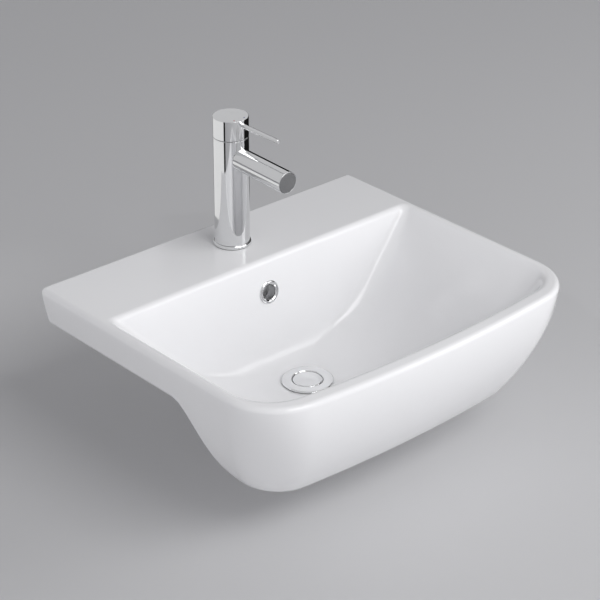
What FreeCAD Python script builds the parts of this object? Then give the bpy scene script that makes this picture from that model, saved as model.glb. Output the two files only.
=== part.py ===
"""Semi recessed basin with a single lever mixer tap and a click waste.

Row frame: +X to the right seen from the front, -Y towards the user, +Z up.  The origin is the
middle of the back edge at worktop level: y = 0 is the wall, z = 0 the underside of the rim.
Lengths are in millimetres and angles in degrees.
"""
import FreeCAD
import Part
import Sketcher
import math
import os
from FreeCAD import Placement, Rotation, Vector

doc = FreeCAD.newDocument("semi_recessed_basin")

# ---------------------------------------------------------------------------------------------
# Driving dimensions
# ---------------------------------------------------------------------------------------------
SIZES = {
    # clay body, outside
    "BasinWidth": (520.0, "overall width of the rim"),
    "BasinDepth": (444.0, "wall to the middle of the front"),
    "RimHeight": (54.0, "rim top to the worktop"),
    "FrontBowRadius": (1800.0, "plan radius of the bowed front edge"),
    "BackCornerRadius": (8.0, "plan radius of the two back corners"),
    "BackGrinding": (0.4, "clay ground off the back so that it meets the wall flat"),
    "FrontCornerRadius": (75.0, "plan radius of the two front corners"),
    "FrontCornerLoss": (27.0, "how much that radius shrinks down to the underside"),
    "RimEdgeRadius": (7.0, "rounding of the rim's outer edge"),
    "SideTaper": (64.5, "how far each side draws in down to the underside"),
    "FrontTaper": (66.3, "how far the front draws in down to the underside"),
    "ClayWall": (11.0, "thickness of the outer skin and of the bowl"),
    "DeckThickness": (14.0, "thickness of the deck around the tap hole"),
    "NotchStart": (248.0, "wall to where the underside starts to drop"),
    "NotchReach": (36.0, "forward reach of the drop's upper curve"),
    "NotchDrop": (62.0, "depth of the drop's upper curve"),
    "NotchToe": (39.0, "forward reach of the drop's lower curve"),
    "LedgeWidth": (40.0, "width of the rim's underside that rests on the worktop"),
    "BackLedge": (30.0, "depth of the same ledge along the wall"),
    # bowl
    "BowlDepth": (143.0, "rim top to the bowl's floor"),
    "ApronDrop": (18.0, "bowl's floor to the underside of the apron"),
    "SideRim": (11.5, "side to the bowl's side wall, carried up to the rim top"),
    "BowlBack": (127.5, "wall to the bowl's back wall, carried up to the rim top"),
    "FrontRim": (23.0, "front to the bowl's front wall, carried up to the rim top"),
    "BowlSideAngle": (40.0, "lean of the side walls from vertical"),
    "BowlBackAngle": (7.5, "lean of the back wall"),
    "BowlFrontAngle": (20.0, "lean of the front wall"),
    "BowlSideEdge": (8.0, "rounding of the rim into a side wall"),
    "BowlBackEdge": (8.0, "rounding of the deck into the back wall"),
    "BowlFrontEdge": (9.0, "rounding of the rim into the front wall"),
    "BowlSideSweep": (160.0, "rounding of a side wall into the floor"),
    "BowlBackSweep": (32.0, "rounding of the back wall into the floor"),
    "BowlFrontSweep": (80.0, "rounding of the front wall into the floor"),
    "BowlBackCorner": (12.0, "plan radius of the back corners at the rim"),
    "BowlBackCornerGain": (30.0, "growth of that radius down to the floor"),
    "BowlFrontCorner": (62.0, "plan radius of the front corners at the rim"),
    "BowlFrontCornerLoss": (16.0, "loss of that radius down to the floor"),
    # overflow
    "OverflowHeight": (44.2, "rim top to the middle of the overflow"),
    "OverflowHoleRadius": (12.5, "hole in the clay"),
    "OverflowRingRadius": (15.5, "outside of the trim ring"),
    "OverflowBoreRadius": (10.2, "inside of the trim ring"),
    "OverflowSleeveRadius": (11.3, "outside of the ring's sleeve"),
    "OverflowSleeveLength": (12.0, "length of the ring's sleeve"),
    "OverflowLip": (2.4, "how far the ring stands off the glaze"),
    "DuctHalfWidth": (14.0, "half the width of the overflow duct"),
    "DuctDepth": (13.0, "front to back size of the duct's upright"),
    "DuctWall": (9.0, "clay around the duct"),
    # waste
    "WasteBack": (207.8, "wall to the waste"),
    "BossHeight": (22.0, "clay below the bowl's floor at the waste"),
    "BossRadius": (38.0, "outside of the waste boss"),
    "WasteHoleRadius": (23.0, "hole in the clay"),
    "WasteFlangeRadius": (33.7, "visible chromed flange"),
    "WasteFlangeThickness": (2.2, "height of the flange over its seal"),
    "WasteSealThickness": (1.2, "foam seal under the flange"),
    "WasteShoulderRadius": (22.3, "short shoulder under the flange"),
    "WasteShoulderDepth": (7.5, "flange top to the end of the shoulder"),
    "TailRadius": (20.95, "outside of the one and a quarter inch thread"),
    "TailBoreRadius": (17.0, "inside of the tail"),
    "TailLength": (79.0, "flange top to the tail's end"),
    "PlugRadius": (19.25, "plug cap"),
    "PlugGap": (0.9, "gap between the plug cap and its seat"),
    "PlugThickness": (3.4, "edge of the plug cap"),
    "PlugCrown": (0.8, "rise of the plug cap's middle"),
    "PlugSeatDepth": (6.2, "flange top to the plug's seat"),
    "PlugTravel": (8.0, "lift of the plug"),
    "SlotTop": (8.4, "flange top to the overflow slots"),
    "SlotHeight": (8.0, "height of the overflow slots"),
    "SlotWidth": (22.0, "width of the overflow slots"),
    "BarTop": (18.0, "flange top to the cross bar"),
    "BarHeight": (6.0, "height of the cross bar"),
    "BarWidth": (8.0, "width of the cross bar"),
    "ClickRadius": (5.0, "threaded click housing"),
    "ClickHeadRadius": (6.5, "head of the click housing"),
    "ClickTop": (9.5, "flange top to the housing's top"),
    "ClickLength": (26.0, "length of the click housing"),
    "ClickChamberRadius": (4.2, "inside of the click housing"),
    "ClickGuide": (3.0, "length of the housing's guide"),
    "ClickFloor": (1.5, "end wall of the housing"),
    "PlugStemRadius": (3.0, "plug stem"),
    "PlugStemCollar": (1.4, "collar that keeps the stem in its housing"),
    "PlugStemSpare": (0.6, "travel left over above the collar"),
    "SpringWire": (0.8, "wire of the click spring"),
    "SpringRadius": (3.3, "mean radius of the click spring"),
    "SpringTurns": (5.0, "turns of the click spring"),
    "NutClearance": (0.1, "radial play of nuts and washers"),
    "ReliefGap": (0.8, "nut to the groove that ends its thread"),
    "ReliefWidth": (1.5, "width of that groove"),
    "ReliefDepth": (0.9, "depth of that groove"),
    "LowerWasherHeight": (7.0, "tapered washer"),
    "SlipWasherHeight": (1.5, "slip washer"),
    "WasteNutHeight": (9.0, "waste backnut"),
    "WasteNutRadius": (30.0, "corners of the waste backnut"),
    # tap
    "TapBack": (61.6, "wall to the tap's axis"),
    "TapHoleRadius": (17.5, "tap hole in the deck"),
    "TapRadius": (22.8, "tap body and cap"),
    "TapHeight": (177.0, "deck to the top of the cap"),
    "CapHeight": (27.5, "seam to the top of the cap"),
    "BaseSealHeight": (0.8, "seal under the base ring"),
    "BaseRingHeight": (4.2, "base ring"),
    "BaseRingRadius": (24.4, "outside of the base ring"),
    "SpigotRadius": (16.4, "spigot of the tap in the deck"),
    "SpigotDepth": (9.0, "spigot below the deck's surface"),
    "BallDepth": (20.0, "seam down to the tilting centre"),
    "CapGap": (0.5, "gap between the cap and the domed ring"),
    "ColumnWall": (3.5, "brass around the column's hollow"),
    "ColumnFloor": (7.0, "brass below and above the column's hollow"),
    "ChamberRadius": (18.0, "cartridge chamber in the body"),
    "ChamberDepth": (50.0, "seam to the chamber's floor"),
    "InletRadius": (4.6, "threaded inlets for the supply tails"),
    "InletDepth": (14.0, "depth of the inlet threads"),
    "InletSpread": (8.0, "middle to each inlet"),
    "InletBack": (4.0, "tap axis back to the inlets"),
    "StudForward": (9.0, "tap axis forward to the stud"),
    "StudRadius": (4.0, "fixing stud"),
    "StudGrip": (18.0, "stud inside the tap"),
    "StudDrop": (62.0, "stud below the tap"),
    "SpoutRadius": (14.4, "spout"),
    "SpoutDrop": (25.5, "seam down to the spout's axis at the tap's axis"),
    "SpoutReach": (108.0, "tap axis to the spout's end"),
    "SpoutFall": (1.5, "fall of the spout"),
    "SpoutBoreRadius": (8.0, "water way in the spout"),
    "EndRecess": (3.0, "depth of the recess in the spout's end"),
    "EndLip": (0.9, "lip around the end disc"),
    "EndDiscThickness": (2.4, "end disc"),
    "AeratorInset": (16.5, "spout's end to the aerator's axis"),
    "AeratorRadius": (8.5, "aerator housing"),
    "AeratorBoreRadius": (7.0, "inside of the aerator housing"),
    "AeratorHeight": (7.0, "aerator housing"),
    "AeratorRecess": (3.4, "spout's underside up to the housing"),
    # cartridge
    "CartridgeRadius": (17.5, "cartridge housing, wide part"),
    "CartridgeWaist": (15.5, "cartridge housing, lower part"),
    "CartridgeHeight": (34.0, "cartridge housing without its neck"),
    "CartridgeFloor": (49.0, "seam to the underside of the cartridge"),
    "WaistHeight": (22.0, "height of the narrow part"),
    "NeckRadius": (13.6, "cartridge neck"),
    "NeckTop": (3.0, "seam down to the top of the neck"),
    "RotorRadius": (11.6, "turning carrier"),
    "RunningGap": (0.05, "radial play of the running fits"),
    "RotorTop": (4.0, "carrier above the seam"),
    "DiscTop": (34.0, "seam down to the sliding disc's top"),
    "DiscHeight": (5.0, "height of each ceramic disc"),
    "FixedDiscRadius": (13.0, "lower ceramic disc"),
    "SlidingDiscRadius": (8.5, "upper ceramic disc"),
    "StemRadius": (4.0, "tilting stem"),
    "StemTop": (23.0, "stem above the seam"),
    "StemArm": (14.5, "tilting centre down to the stem's ball"),
    "StemBallRadius": (2.5, "ball end of the stem"),
    "StemPinRadius": (2.0, "cross pin"),
    "DiscOffset": (2.5, "sliding disc behind the axis when shut"),
    "SlotPlay": (0.6, "side play of the stem in the carrier"),
    "LiftAngle": (20.0, "lift of the lever"),
    "CartridgeNutHeight": (8.0, "cartridge nut"),
    "DomeBoreRadius": (14.4, "opening of the domed ring"),
    # handle
    "LeverRadius": (2.9, "lever rod"),
    "LeverReach": (91.0, "tap axis to the lever's tip"),
    "LeverDrop": (6.6, "cap top to the lever's axis"),
    "LeverGrip": (8.0, "lever inside the cap"),
    "LeverEdge": (0.6, "bevel of the lever's tip"),
    "CapEdge": (0.5, "bevel of the cap's edge"),
    "GrubRadius": (2.5, "set screw"),
    "GrubLength": (9.0, "set screw"),
    "GrubHeight": (15.5, "seam to the set screw"),
    "MarkRadius": (1.0, "hot and cold marks"),
    "MarkDepth": (1.6, "pin of a mark"),
    "MarkSpread": (8.1, "middle of a mark to the lever's line"),
    "MarkForward": (16.6, "middle of a mark to the tap's axis, forward"),
    # fixings under the deck
    "HorseshoeRadius": (25.0, "outside of both horseshoes"),
    "HorseshoeMouth": (13.8, "half the mouth of both horseshoes"),
    "HorseshoeSealHeight": (3.0, "rubber horseshoe"),
    "HorseshoePlateHeight": (2.5, "steel horseshoe"),
    "FixingNutHeight": (14.0, "fixing nut"),
    "FixingNutRadius": (7.5, "corners of the fixing nut"),
}

sheet = doc.addObject("Spreadsheet::Sheet", "Sizes")
for row, (alias, (number, meaning)) in enumerate(SIZES.items(), start=1):
    sheet.set("A%d" % row, meaning)
    sheet.set("B%d" % row, "%g" % number)
    sheet.setAlias("B%d" % row, alias)
doc.recompute()


class Size:
    """A number that remembers the sheet formula it comes from."""

    def __init__(self, value, formula):
        self.value = value
        self.formula = formula

    def __add__(self, other):
        other = as_size(other)
        return Size(self.value + other.value, "(%s + %s)" % (self.formula, other.formula))

    def __sub__(self, other):
        other = as_size(other)
        return Size(self.value - other.value, "(%s - %s)" % (self.formula, other.formula))

    def __mul__(self, other):
        other = as_size(other)
        return Size(self.value * other.value, "(%s * %s)" % (self.formula, other.formula))

    def __truediv__(self, other):
        other = as_size(other)
        return Size(self.value / other.value, "(%s / %s)" % (self.formula, other.formula))

    def __radd__(self, other):
        return as_size(other) + self

    def __rsub__(self, other):
        return as_size(other) - self

    def __rmul__(self, other):
        return as_size(other) * self

    def __neg__(self):
        return Size(-self.value, "(0 - %s)" % self.formula)


def as_size(number):
    return number if isinstance(number, Size) else Size(float(number), "%.6g" % number)


class Sizes:
    """Every row of the sheet, by name."""

    def __init__(self):
        for name in SIZES:
            setattr(self, name, Size(float(sheet.get(name)), "Sizes." + name))


s = Sizes()
ZERO = as_size(0)
sub_parts = []


# ---------------------------------------------------------------------------------------------
# Helpers that bind objects to the sheet
# ---------------------------------------------------------------------------------------------
def bind(thing, path, size):
    """Give one property its value, and its formula where it has one."""
    size = as_size(size)
    if "Sizes." in size.formula:
        thing.setExpression(path, size.formula)
    return size.value


def place(thing, x=0, y=0, z=0, tilt=None):
    """Put a thing at x, y, z, turned by tilt (axis, angle) first."""
    x, y, z = as_size(x), as_size(y), as_size(z)
    turn = Rotation(tilt[0], as_size(tilt[1]).value) if tilt else Rotation()
    thing.Placement = Placement(Vector(x.value, y.value, z.value), turn)
    bind(thing, ".Placement.Base.x", x)
    bind(thing, ".Placement.Base.y", y)
    bind(thing, ".Placement.Base.z", z)
    if tilt:
        bind(thing, ".Placement.Rotation.Angle", tilt[1])
    return thing


def sub_part(thing, label):
    """Name a finished piece and keep it for export."""
    thing.Label = label
    sub_parts.append(thing)
    return thing


def origin_plane(body, role):
    return [plane for plane in body.Origin.OriginFeatures if plane.Role == role][0]


def closed_sketch(body, name, role, corners):
    """Sketch a closed outline; every corner is held by its own two distances."""
    sketch = body.newObject("Sketcher::SketchObject", name)
    sketch.AttachmentSupport = [(origin_plane(body, role), "")]
    sketch.MapMode = "FlatFace"
    corners = [(as_size(across), as_size(up)) for across, up in corners]
    points = [Vector(across.value, up.value, 0) for across, up in corners]
    count = len(points)
    for index in range(count):
        sketch.addGeometry(Part.LineSegment(points[index], points[(index + 1) % count]), False)
    for index in range(count):
        sketch.addConstraint(Sketcher.Constraint("Coincident", index, 2, (index + 1) % count, 1))
    for index, pair in enumerate(corners):
        for kind, axis, size in (("DistanceX", -2, pair[0]), ("DistanceY", -1, pair[1])):
            if size.formula == ZERO.formula:
                sketch.addConstraint(Sketcher.Constraint("PointOnObject", index, 1, axis))
                continue
            number = sketch.addConstraint(Sketcher.Constraint(kind, index, 1, size.value))
            bind(sketch, "Constraints[%d]" % number, size)
    return sketch


def turned(label, corners, x=0, y=0, z=0, tilt=None):
    """Lathe work: a closed outline of (radius, height) turned about the piece's own Z."""
    body = doc.addObject("PartDesign::Body", label)
    sketch = closed_sketch(body, label + "_profile", "XZ_Plane", corners)
    lathe = body.newObject("PartDesign::Revolution", label + "_turning")
    lathe.Profile = sketch
    lathe.ReferenceAxis = (sketch, ["V_Axis"])
    lathe.Angle = 360
    sketch.Visibility = False
    return place(body, x, y, z, tilt)


def ring_profile(inner, outer, low, high):
    return [(inner, low), (outer, low), (outer, high), (inner, high)]


def milled(body, name, role, corners, length):
    """Cut an outline right through a body, both ways from its own origin plane."""
    cut_sketch = closed_sketch(body, name + "_outline", role, corners)
    pocket = body.newObject("PartDesign::Pocket", name)
    pocket.Profile = cut_sketch
    pocket.Midplane = True
    pocket.Length = bind(pocket, "Length", length)
    cut_sketch.Visibility = False
    return pocket


def rod(name, radius, length, x=0, y=0, z=0, tilt=None):
    """Plain cylinder along its own Z."""
    thing = doc.addObject("Part::Cylinder", name)
    thing.Radius = bind(thing, "Radius", radius)
    thing.Height = bind(thing, "Height", length)
    return place(thing, x, y, z, tilt)


def block(name, length, width, height, x=0, y=0, z=0):
    """Box whose low corner is at x, y, z."""
    thing = doc.addObject("Part::Box", name)
    thing.Length = bind(thing, "Length", length)
    thing.Width = bind(thing, "Width", width)
    thing.Height = bind(thing, "Height", height)
    return place(thing, x, y, z)


def ball(name, radius, x=0, y=0, z=0):
    thing = doc.addObject("Part::Sphere", name)
    thing.Radius = bind(thing, "Radius", radius)
    return place(thing, x, y, z)


def hexagon(name, corner_radius, height, x=0, y=0, z=0):
    thing = doc.addObject("Part::Prism", name)
    thing.Polygon = 6
    thing.Circumradius = bind(thing, "Circumradius", corner_radius)
    thing.Height = bind(thing, "Height", height)
    return place(thing, x, y, z)


def joined(name, *things):
    union = doc.addObject("Part::MultiFuse", name)
    union.Shapes = list(things)
    union.Refine = True
    return union


def drilled(name, base, *tools):
    """Base without its tools."""
    cutter = tools[0] if len(tools) == 1 else joined(name + "_cutters", *tools)
    result = doc.addObject("Part::Cut", name)
    result.Base = base
    result.Tool = cutter
    return result


FORWARD = (Vector(1, 0, 0), 90)  # turns a piece's own Z to point at the user, along -Y

# ---------------------------------------------------------------------------------------------
# Places that several pieces share
# ---------------------------------------------------------------------------------------------
rim_top = s.RimHeight
deck_underside = rim_top - s.DeckThickness
floor_level = rim_top - s.BowlDepth
body_height = s.BowlDepth + s.ApronDrop
boss_underside = floor_level - s.BossHeight
waste_top = floor_level + s.WasteSealThickness + s.WasteFlangeThickness
tap_y = -s.TapBack
waste_y = -s.WasteBack
seam = rim_top + s.TapHeight - s.CapHeight
tilt_centre = seam - s.BallDepth
overflow_z = rim_top - s.OverflowHeight
duct_high = waste_top - s.SlotTop
duct_low = duct_high - s.SlotHeight


# ---------------------------------------------------------------------------------------------
# Clay body: rings of one outline, joined down the depth
# ---------------------------------------------------------------------------------------------
def outline(half_width, back, front, back_radius, front_radius, level):
    """Closed plan outline: straight back and sides, round corners, bowed front.

    back and front are distances from the wall.
    """
    bow = s.FrontBowRadius.value
    bow_centre = -front + bow
    corner_x = half_width - front_radius
    corner_y = bow_centre - math.sqrt((bow - front_radius) ** 2 - corner_x ** 2)
    lean = math.atan2(corner_x, bow_centre - corner_y)
    tangent = Vector(bow * math.sin(lean), bow_centre - bow * math.cos(lean), level)
    middle_angle = (math.pi / 2 - lean) / 2
    corner_middle = Vector(corner_x + front_radius * math.cos(middle_angle),
                           corner_y - front_radius * math.sin(middle_angle), level)
    back_x = half_width - back_radius
    back_diagonal = back_radius * math.sqrt(0.5)

    def mirrored(point):
        return Vector(-point.x, point.y, point.z)

    back_right = Vector(back_x, -back, level)
    back_middle = Vector(back_x + back_diagonal, -back - back_radius + back_diagonal, level)
    side_back = Vector(half_width, -back - back_radius, level)
    side_front = Vector(half_width, corner_y, level)
    front_middle = Vector(0, -front, level)
    return Part.Wire([
        Part.LineSegment(mirrored(back_right), back_right).toShape(),
        Part.Arc(back_right, back_middle, side_back).toShape(),
        Part.LineSegment(side_back, side_front).toShape(),
        Part.Arc(side_front, corner_middle, tangent).toShape(),
        Part.Arc(tangent, front_middle, mirrored(tangent)).toShape(),
        Part.Arc(mirrored(tangent), mirrored(corner_middle), mirrored(side_front)).toShape(),
        Part.LineSegment(mirrored(side_front), mirrored(side_back)).toShape(),
        Part.Arc(mirrored(side_back), mirrored(back_middle), mirrored(back_right)).toShape(),
    ])


def drawn_in(share, flat, full):
    """Share of a taper reached at a share of the depth: slow at first, then a round turn-in."""
    return 1 - (1 - share ** flat) ** (1 / full)


SIDE_CURVE = (1.34, 1.47)  # exponents of the side's taper
FRONT_CURVE = (1.8, 1.05)  # exponents of the front's taper


def body_outline(depth, inset):
    """Outside of the clay at a depth below the rim's top, moved in by inset."""
    edge = s.RimEdgeRadius.value
    share = max(depth - edge, 0) / (body_height.value - edge)
    rounding = edge - math.sqrt(edge ** 2 - (edge - min(depth, edge)) ** 2)
    inset = inset + rounding
    half_width = s.BasinWidth.value / 2 - s.SideTaper.value * drawn_in(share, *SIDE_CURVE)
    front = s.BasinDepth.value - s.FrontTaper.value * drawn_in(share, *FRONT_CURVE)
    corner = s.FrontCornerRadius.value - s.FrontCornerLoss.value * share ** 3
    back_corner = max(s.BackCornerRadius.value - inset, 0.5)
    back = inset - s.BackGrinding.value
    return outline(half_width - inset, back, front - inset, back_corner, corner - inset,
                   rim_top.value - depth)


def depths(start, end, steps):
    """Depths that crowd towards the end, where the outline turns in fastest."""
    return [start + (end - start) * math.sin(math.pi / 2 * step / steps)
            for step in range(steps + 1)]


def full_tub():
    """Outside of the clay before the notch: rim edge, then walls."""
    edge = s.RimEdgeRadius.value
    bottom = body_height.value
    rim = [edge * (1 - math.cos(math.radians(angle))) for angle in (0, 30, 60, 90)]
    walls = depths(edge, bottom, 10)
    rim_loft = Part.makeLoft([body_outline(depth, 0) for depth in rim], True, True)
    wall_loft = Part.makeLoft([body_outline(depth, 0) for depth in walls], True, True)
    return rim_loft.fuse(wall_loft)


def hollow_tub():
    """The same form one wall further in, between the deck and the underside."""
    wall = s.ClayWall.value
    start, bottom = s.DeckThickness.value, body_height.value - wall
    return Part.makeLoft([body_outline(depth, wall) for depth in depths(start, bottom, 8)],
                         True, True)


def notch(wall):
    """What the worktop and cupboard take: the space under the rim, behind the drop."""
    start = -s.NotchStart.value - wall
    knee = start - s.NotchReach.value
    toe = knee - s.NotchToe.value
    top = wall
    drop = wall - s.NotchDrop.value
    low = s.RimHeight.value - body_height.value
    beyond = 20.0
    side = -s.BasinWidth.value

    def point(y, z):
        return Vector(side, y, z)

    upper = Part.BezierCurve()
    upper.setPoles([point(start, top), point(start + (knee - start) / 2, top),
                    point(knee + (start - knee) / 4, drop + (top - drop) / 2),
                    point(knee, drop)])
    lower = Part.BezierCurve()
    lower.setPoles([point(knee, drop), point(knee - (knee - toe) / 8, drop + (low - drop) / 2),
                    point(knee - (knee - toe) / 2, low), point(toe, low)])
    corners = [point(toe, low), point(toe, low - beyond), point(beyond, low - beyond),
               point(beyond, top), point(start, top)]
    edges = [upper.toShape(), lower.toShape()]
    edges += [Part.LineSegment(a, b).toShape() for a, b in zip(corners, corners[1:])]
    return Part.Face(Part.Wire(edges)).extrude(Vector(-2 * side, 0, 0))


def wall_inset(depth, full_depth, angle, edge, sweep):
    """How far a bowl wall has come in at a depth: rounded edge, straight lean, round sweep."""
    lean = math.radians(angle)
    edge_end = edge * (1 - math.sin(lean))
    sweep_start = full_depth - sweep * (1 - math.sin(lean))
    if depth < edge_end:
        return math.sqrt(edge ** 2 - (edge - depth) ** 2) - edge * math.tan((math.pi / 2 - lean) / 2)
    if depth <= sweep_start:
        return depth * math.tan(lean)
    height = full_depth - depth
    reached = sweep * math.cos(lean) - math.sqrt(max(sweep ** 2 - (sweep - height) ** 2, 0))
    return sweep_start * math.tan(lean) + reached


def bowl_outline(depth, wall):
    """Inside of the bowl at a depth, or the clay's far side when wall is its thickness."""
    full_depth = s.BowlDepth.value + wall

    def come_in(angle, edge, sweep):
        outset = wall / math.cos(math.radians(angle.value))
        edge_radius = edge.value if wall == 0 else 0.0
        return wall_inset(depth, full_depth, angle.value, edge_radius, sweep.value + wall) - outset

    share = depth / full_depth
    half_width = s.BasinWidth.value / 2 - s.SideRim.value
    half_width -= come_in(s.BowlSideAngle, s.BowlSideEdge, s.BowlSideSweep)
    back = s.BowlBack.value + come_in(s.BowlBackAngle, s.BowlBackEdge, s.BowlBackSweep)
    front = s.BasinDepth.value - s.FrontRim.value
    front -= come_in(s.BowlFrontAngle, s.BowlFrontEdge, s.BowlFrontSweep)
    back_corner = s.BowlBackCorner.value + s.BowlBackCornerGain.value * share + wall
    front_corner = s.BowlFrontCorner.value - s.BowlFrontCornerLoss.value * share + wall
    back_corner = min(back_corner, 0.9 * half_width, 0.45 * (front - back))
    front_corner = min(front_corner, 0.9 * half_width, 0.95 * (front - back) - back_corner)
    return outline(half_width, back, front, back_corner, front_corner, rim_top.value - depth)


def bowl_space():
    """Everything inside the bowl, and a little air above it."""
    deep = s.BowlDepth.value
    edge = [0, 0.8, 2.4, 5, 9]
    walls = depths(edge[-1], deep, 12)
    lid = bowl_outline(0, 0)
    air = Part.Face(lid).extrude(Vector(0, 0, 10))
    edge_loft = Part.makeLoft([bowl_outline(depth, 0) for depth in edge], True, True)
    wall_loft = Part.makeLoft([bowl_outline(depth, 0) for depth in walls], True, True)
    return air.fuse([edge_loft, wall_loft])


def bowl_back():
    """The bowl's clay as a full plug, from inside the deck down."""
    wall = s.ClayWall.value
    start = s.DeckThickness.value - 2
    return Part.makeLoft([bowl_outline(depth, wall)
                          for depth in depths(start, s.BowlDepth.value + wall, 10)], True, True)


def solid_box(low, high):
    return Part.makeBox(high[0] - low[0], high[1] - low[1], high[2] - low[2], Vector(*low))


def overflow_wall_y():
    """Where the bowl's back wall is at the overflow's height."""
    lean = math.radians(s.BowlBackAngle.value)
    return -(s.BowlBack.value + s.OverflowHeight.value * math.tan(lean))


OVERFLOW_TILT = (Vector(1, 0, 0), 90 - s.BowlBackAngle)  # own Z square to the back wall


def clay_basin():
    """Double walled shell: skin, bowl, boss, duct; then the holes."""
    waste_at = Vector(0, waste_y.value, boss_underside.value)
    tap_at = Vector(0, tap_y.value, 0)
    up = Vector(0, 0, 1)
    duct_back = overflow_wall_y() + s.DuctWall.value + s.DuctDepth.value
    duct_front = duct_back - s.DuctDepth.value
    half, skin = s.DuctHalfWidth.value, s.DuctWall.value

    width, tall = s.BasinWidth.value, body_height.value
    beyond_wall = solid_box((-width, 0, -tall), (width, tall, tall))
    outside = full_tub().cut([notch(0), beyond_wall])
    hollow = hollow_tub().cut(notch(s.ClayWall.value))
    ledge = s.BasinWidth.value / 2 - s.LedgeWidth.value
    hatch = solid_box((-ledge, -s.BowlBack.value, -1), (ledge, -s.BackLedge.value, s.ClayWall.value + 1))
    shell = outside.cut(hollow).cut(hatch)
    boss = Part.makeCylinder(s.BossRadius.value, s.BossHeight.value, waste_at, up)
    low_skin = boss_underside.value
    duct_case = solid_box((-half - skin, duct_front - skin, low_skin),
                          (half + skin, duct_back + skin, deck_underside.value))
    run_case = solid_box((-half - skin, waste_y.value, low_skin),
                         (half + skin, duct_back + skin, floor_level.value - 1))
    clay = shell.fuse([bowl_back(), boss, duct_case, run_case])

    duct_top = overflow_z.value + s.OverflowHoleRadius.value + 2
    upright = solid_box((-half, duct_front, duct_low.value), (half, duct_back, duct_top))
    run = solid_box((-half, waste_y.value, duct_low.value), (half, duct_back, duct_high.value))
    waste_hole = Part.makeCylinder(s.WasteHoleRadius.value, s.BossHeight.value + 4,
                                   waste_at - up * 2, up)
    tap_hole = Part.makeCylinder(s.TapHoleRadius.value, rim_top.value + 5, tap_at, up)
    lean = math.radians(s.BowlBackAngle.value)
    inward = Vector(0, math.cos(lean), -math.sin(lean))
    mouth = Vector(0, overflow_wall_y(), overflow_z.value) - inward * 4
    overflow_hole = Part.makeCylinder(s.OverflowHoleRadius.value, s.DuctWall.value + 8, mouth, inward)
    return clay.cut([bowl_space(), upright, run, waste_hole, tap_hole, overflow_hole])


basin_body = doc.addObject("Part::Feature", "basin_body")
basin_body.Shape = clay_basin().removeSplitter()
sub_part(basin_body, "basin_body")

# ---------------------------------------------------------------------------------------------
# Overflow trim
# ---------------------------------------------------------------------------------------------
wall_rise = math.tan(math.radians(s.BowlBackAngle.value))
overflow_y = -(s.BowlBack + s.OverflowHeight * as_size(round(wall_rise, 6)))


def overflow_trim(label, corners):
    return sub_part(turned(label, corners, 0, overflow_y, overflow_z, OVERFLOW_TILT), label)


overflow_trim("overflow_ring", [
    (s.OverflowBoreRadius, -s.OverflowSleeveLength),
    (s.OverflowSleeveRadius, -s.OverflowSleeveLength),
    (s.OverflowSleeveRadius, 0.05),
    (s.OverflowRingRadius, 0.05),
    (s.OverflowRingRadius, s.OverflowLip * 0.35),
    (s.OverflowRingRadius - s.OverflowLip * 0.4, s.OverflowLip * 0.85),
    (s.OverflowRingRadius - s.OverflowLip, s.OverflowLip),
    (s.OverflowBoreRadius + s.OverflowLip * 0.6, s.OverflowLip * 0.8),
    (s.OverflowBoreRadius, s.OverflowLip * 0.2),
])
overflow_trim("overflow_grommet", ring_profile(
    s.OverflowSleeveRadius + 0.05, s.OverflowHoleRadius - 0.05, 1 - s.OverflowSleeveLength, -0.5))

# ---------------------------------------------------------------------------------------------
# Click waste: heights are measured down from the flange's top
# ---------------------------------------------------------------------------------------------
seat_radius = s.PlugRadius + s.PlugGap
boss_depth = waste_top - boss_underside
lower_washer_end = boss_depth + s.LowerWasherHeight
slip_washer_end = lower_washer_end + s.SlipWasherHeight
relief_start = slip_washer_end + s.WasteNutHeight + s.ReliefGap
relief_end = relief_start + s.ReliefWidth
stem_foot = s.ClickTop + s.ClickGuide + s.PlugTravel + s.PlugStemCollar + s.PlugStemSpare


def waste_turned(label, corners):
    return sub_part(turned(label, corners, 0, waste_y, waste_top), label)


waste_flange = waste_turned("waste_flange", [
    (s.TailBoreRadius, -s.TailLength),
    (s.TailRadius, -s.TailLength),
    (s.TailRadius, -relief_end),
    (s.TailRadius - s.ReliefDepth, -relief_end),
    (s.TailRadius - s.ReliefDepth, -relief_start),
    (s.TailRadius, -relief_start),
    (s.TailRadius, -s.WasteShoulderDepth),
    (s.WasteShoulderRadius, -s.WasteShoulderDepth),
    (s.WasteShoulderRadius, -s.WasteFlangeThickness),
    (s.WasteFlangeRadius, -s.WasteFlangeThickness),
    (s.WasteFlangeRadius, -s.WasteFlangeThickness * 0.5),
    (s.WasteFlangeRadius - 0.8, -s.WasteFlangeThickness * 0.12),
    (s.WasteFlangeRadius - 2.5, ZERO),
    (seat_radius + 0.6, ZERO),
    (seat_radius, -0.6),
    (seat_radius, -s.PlugSeatDepth),
    (s.TailBoreRadius, -s.PlugSeatDepth),
])
milled(waste_flange, "overflow_slots", "YZ_Plane", [
    (-s.SlotWidth / 2, -s.SlotTop - s.SlotHeight), (s.SlotWidth / 2, -s.SlotTop - s.SlotHeight),
    (s.SlotWidth / 2, -s.SlotTop), (-s.SlotWidth / 2, -s.SlotTop)], s.WasteFlangeRadius * 2)
bar_sketch = closed_sketch(waste_flange, "cross_bar_outline", "YZ_Plane", [
    (-s.TailBoreRadius - 1, -s.BarTop - s.BarHeight), (s.TailBoreRadius + 1, -s.BarTop - s.BarHeight),
    (s.TailBoreRadius + 1, -s.BarTop), (-s.TailBoreRadius - 1, -s.BarTop)])
bar = waste_flange.newObject("PartDesign::Pad", "cross_bar")
bar.Profile = bar_sketch
bar.Midplane = True
bar.Length = bind(bar, "Length", s.BarWidth)
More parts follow.
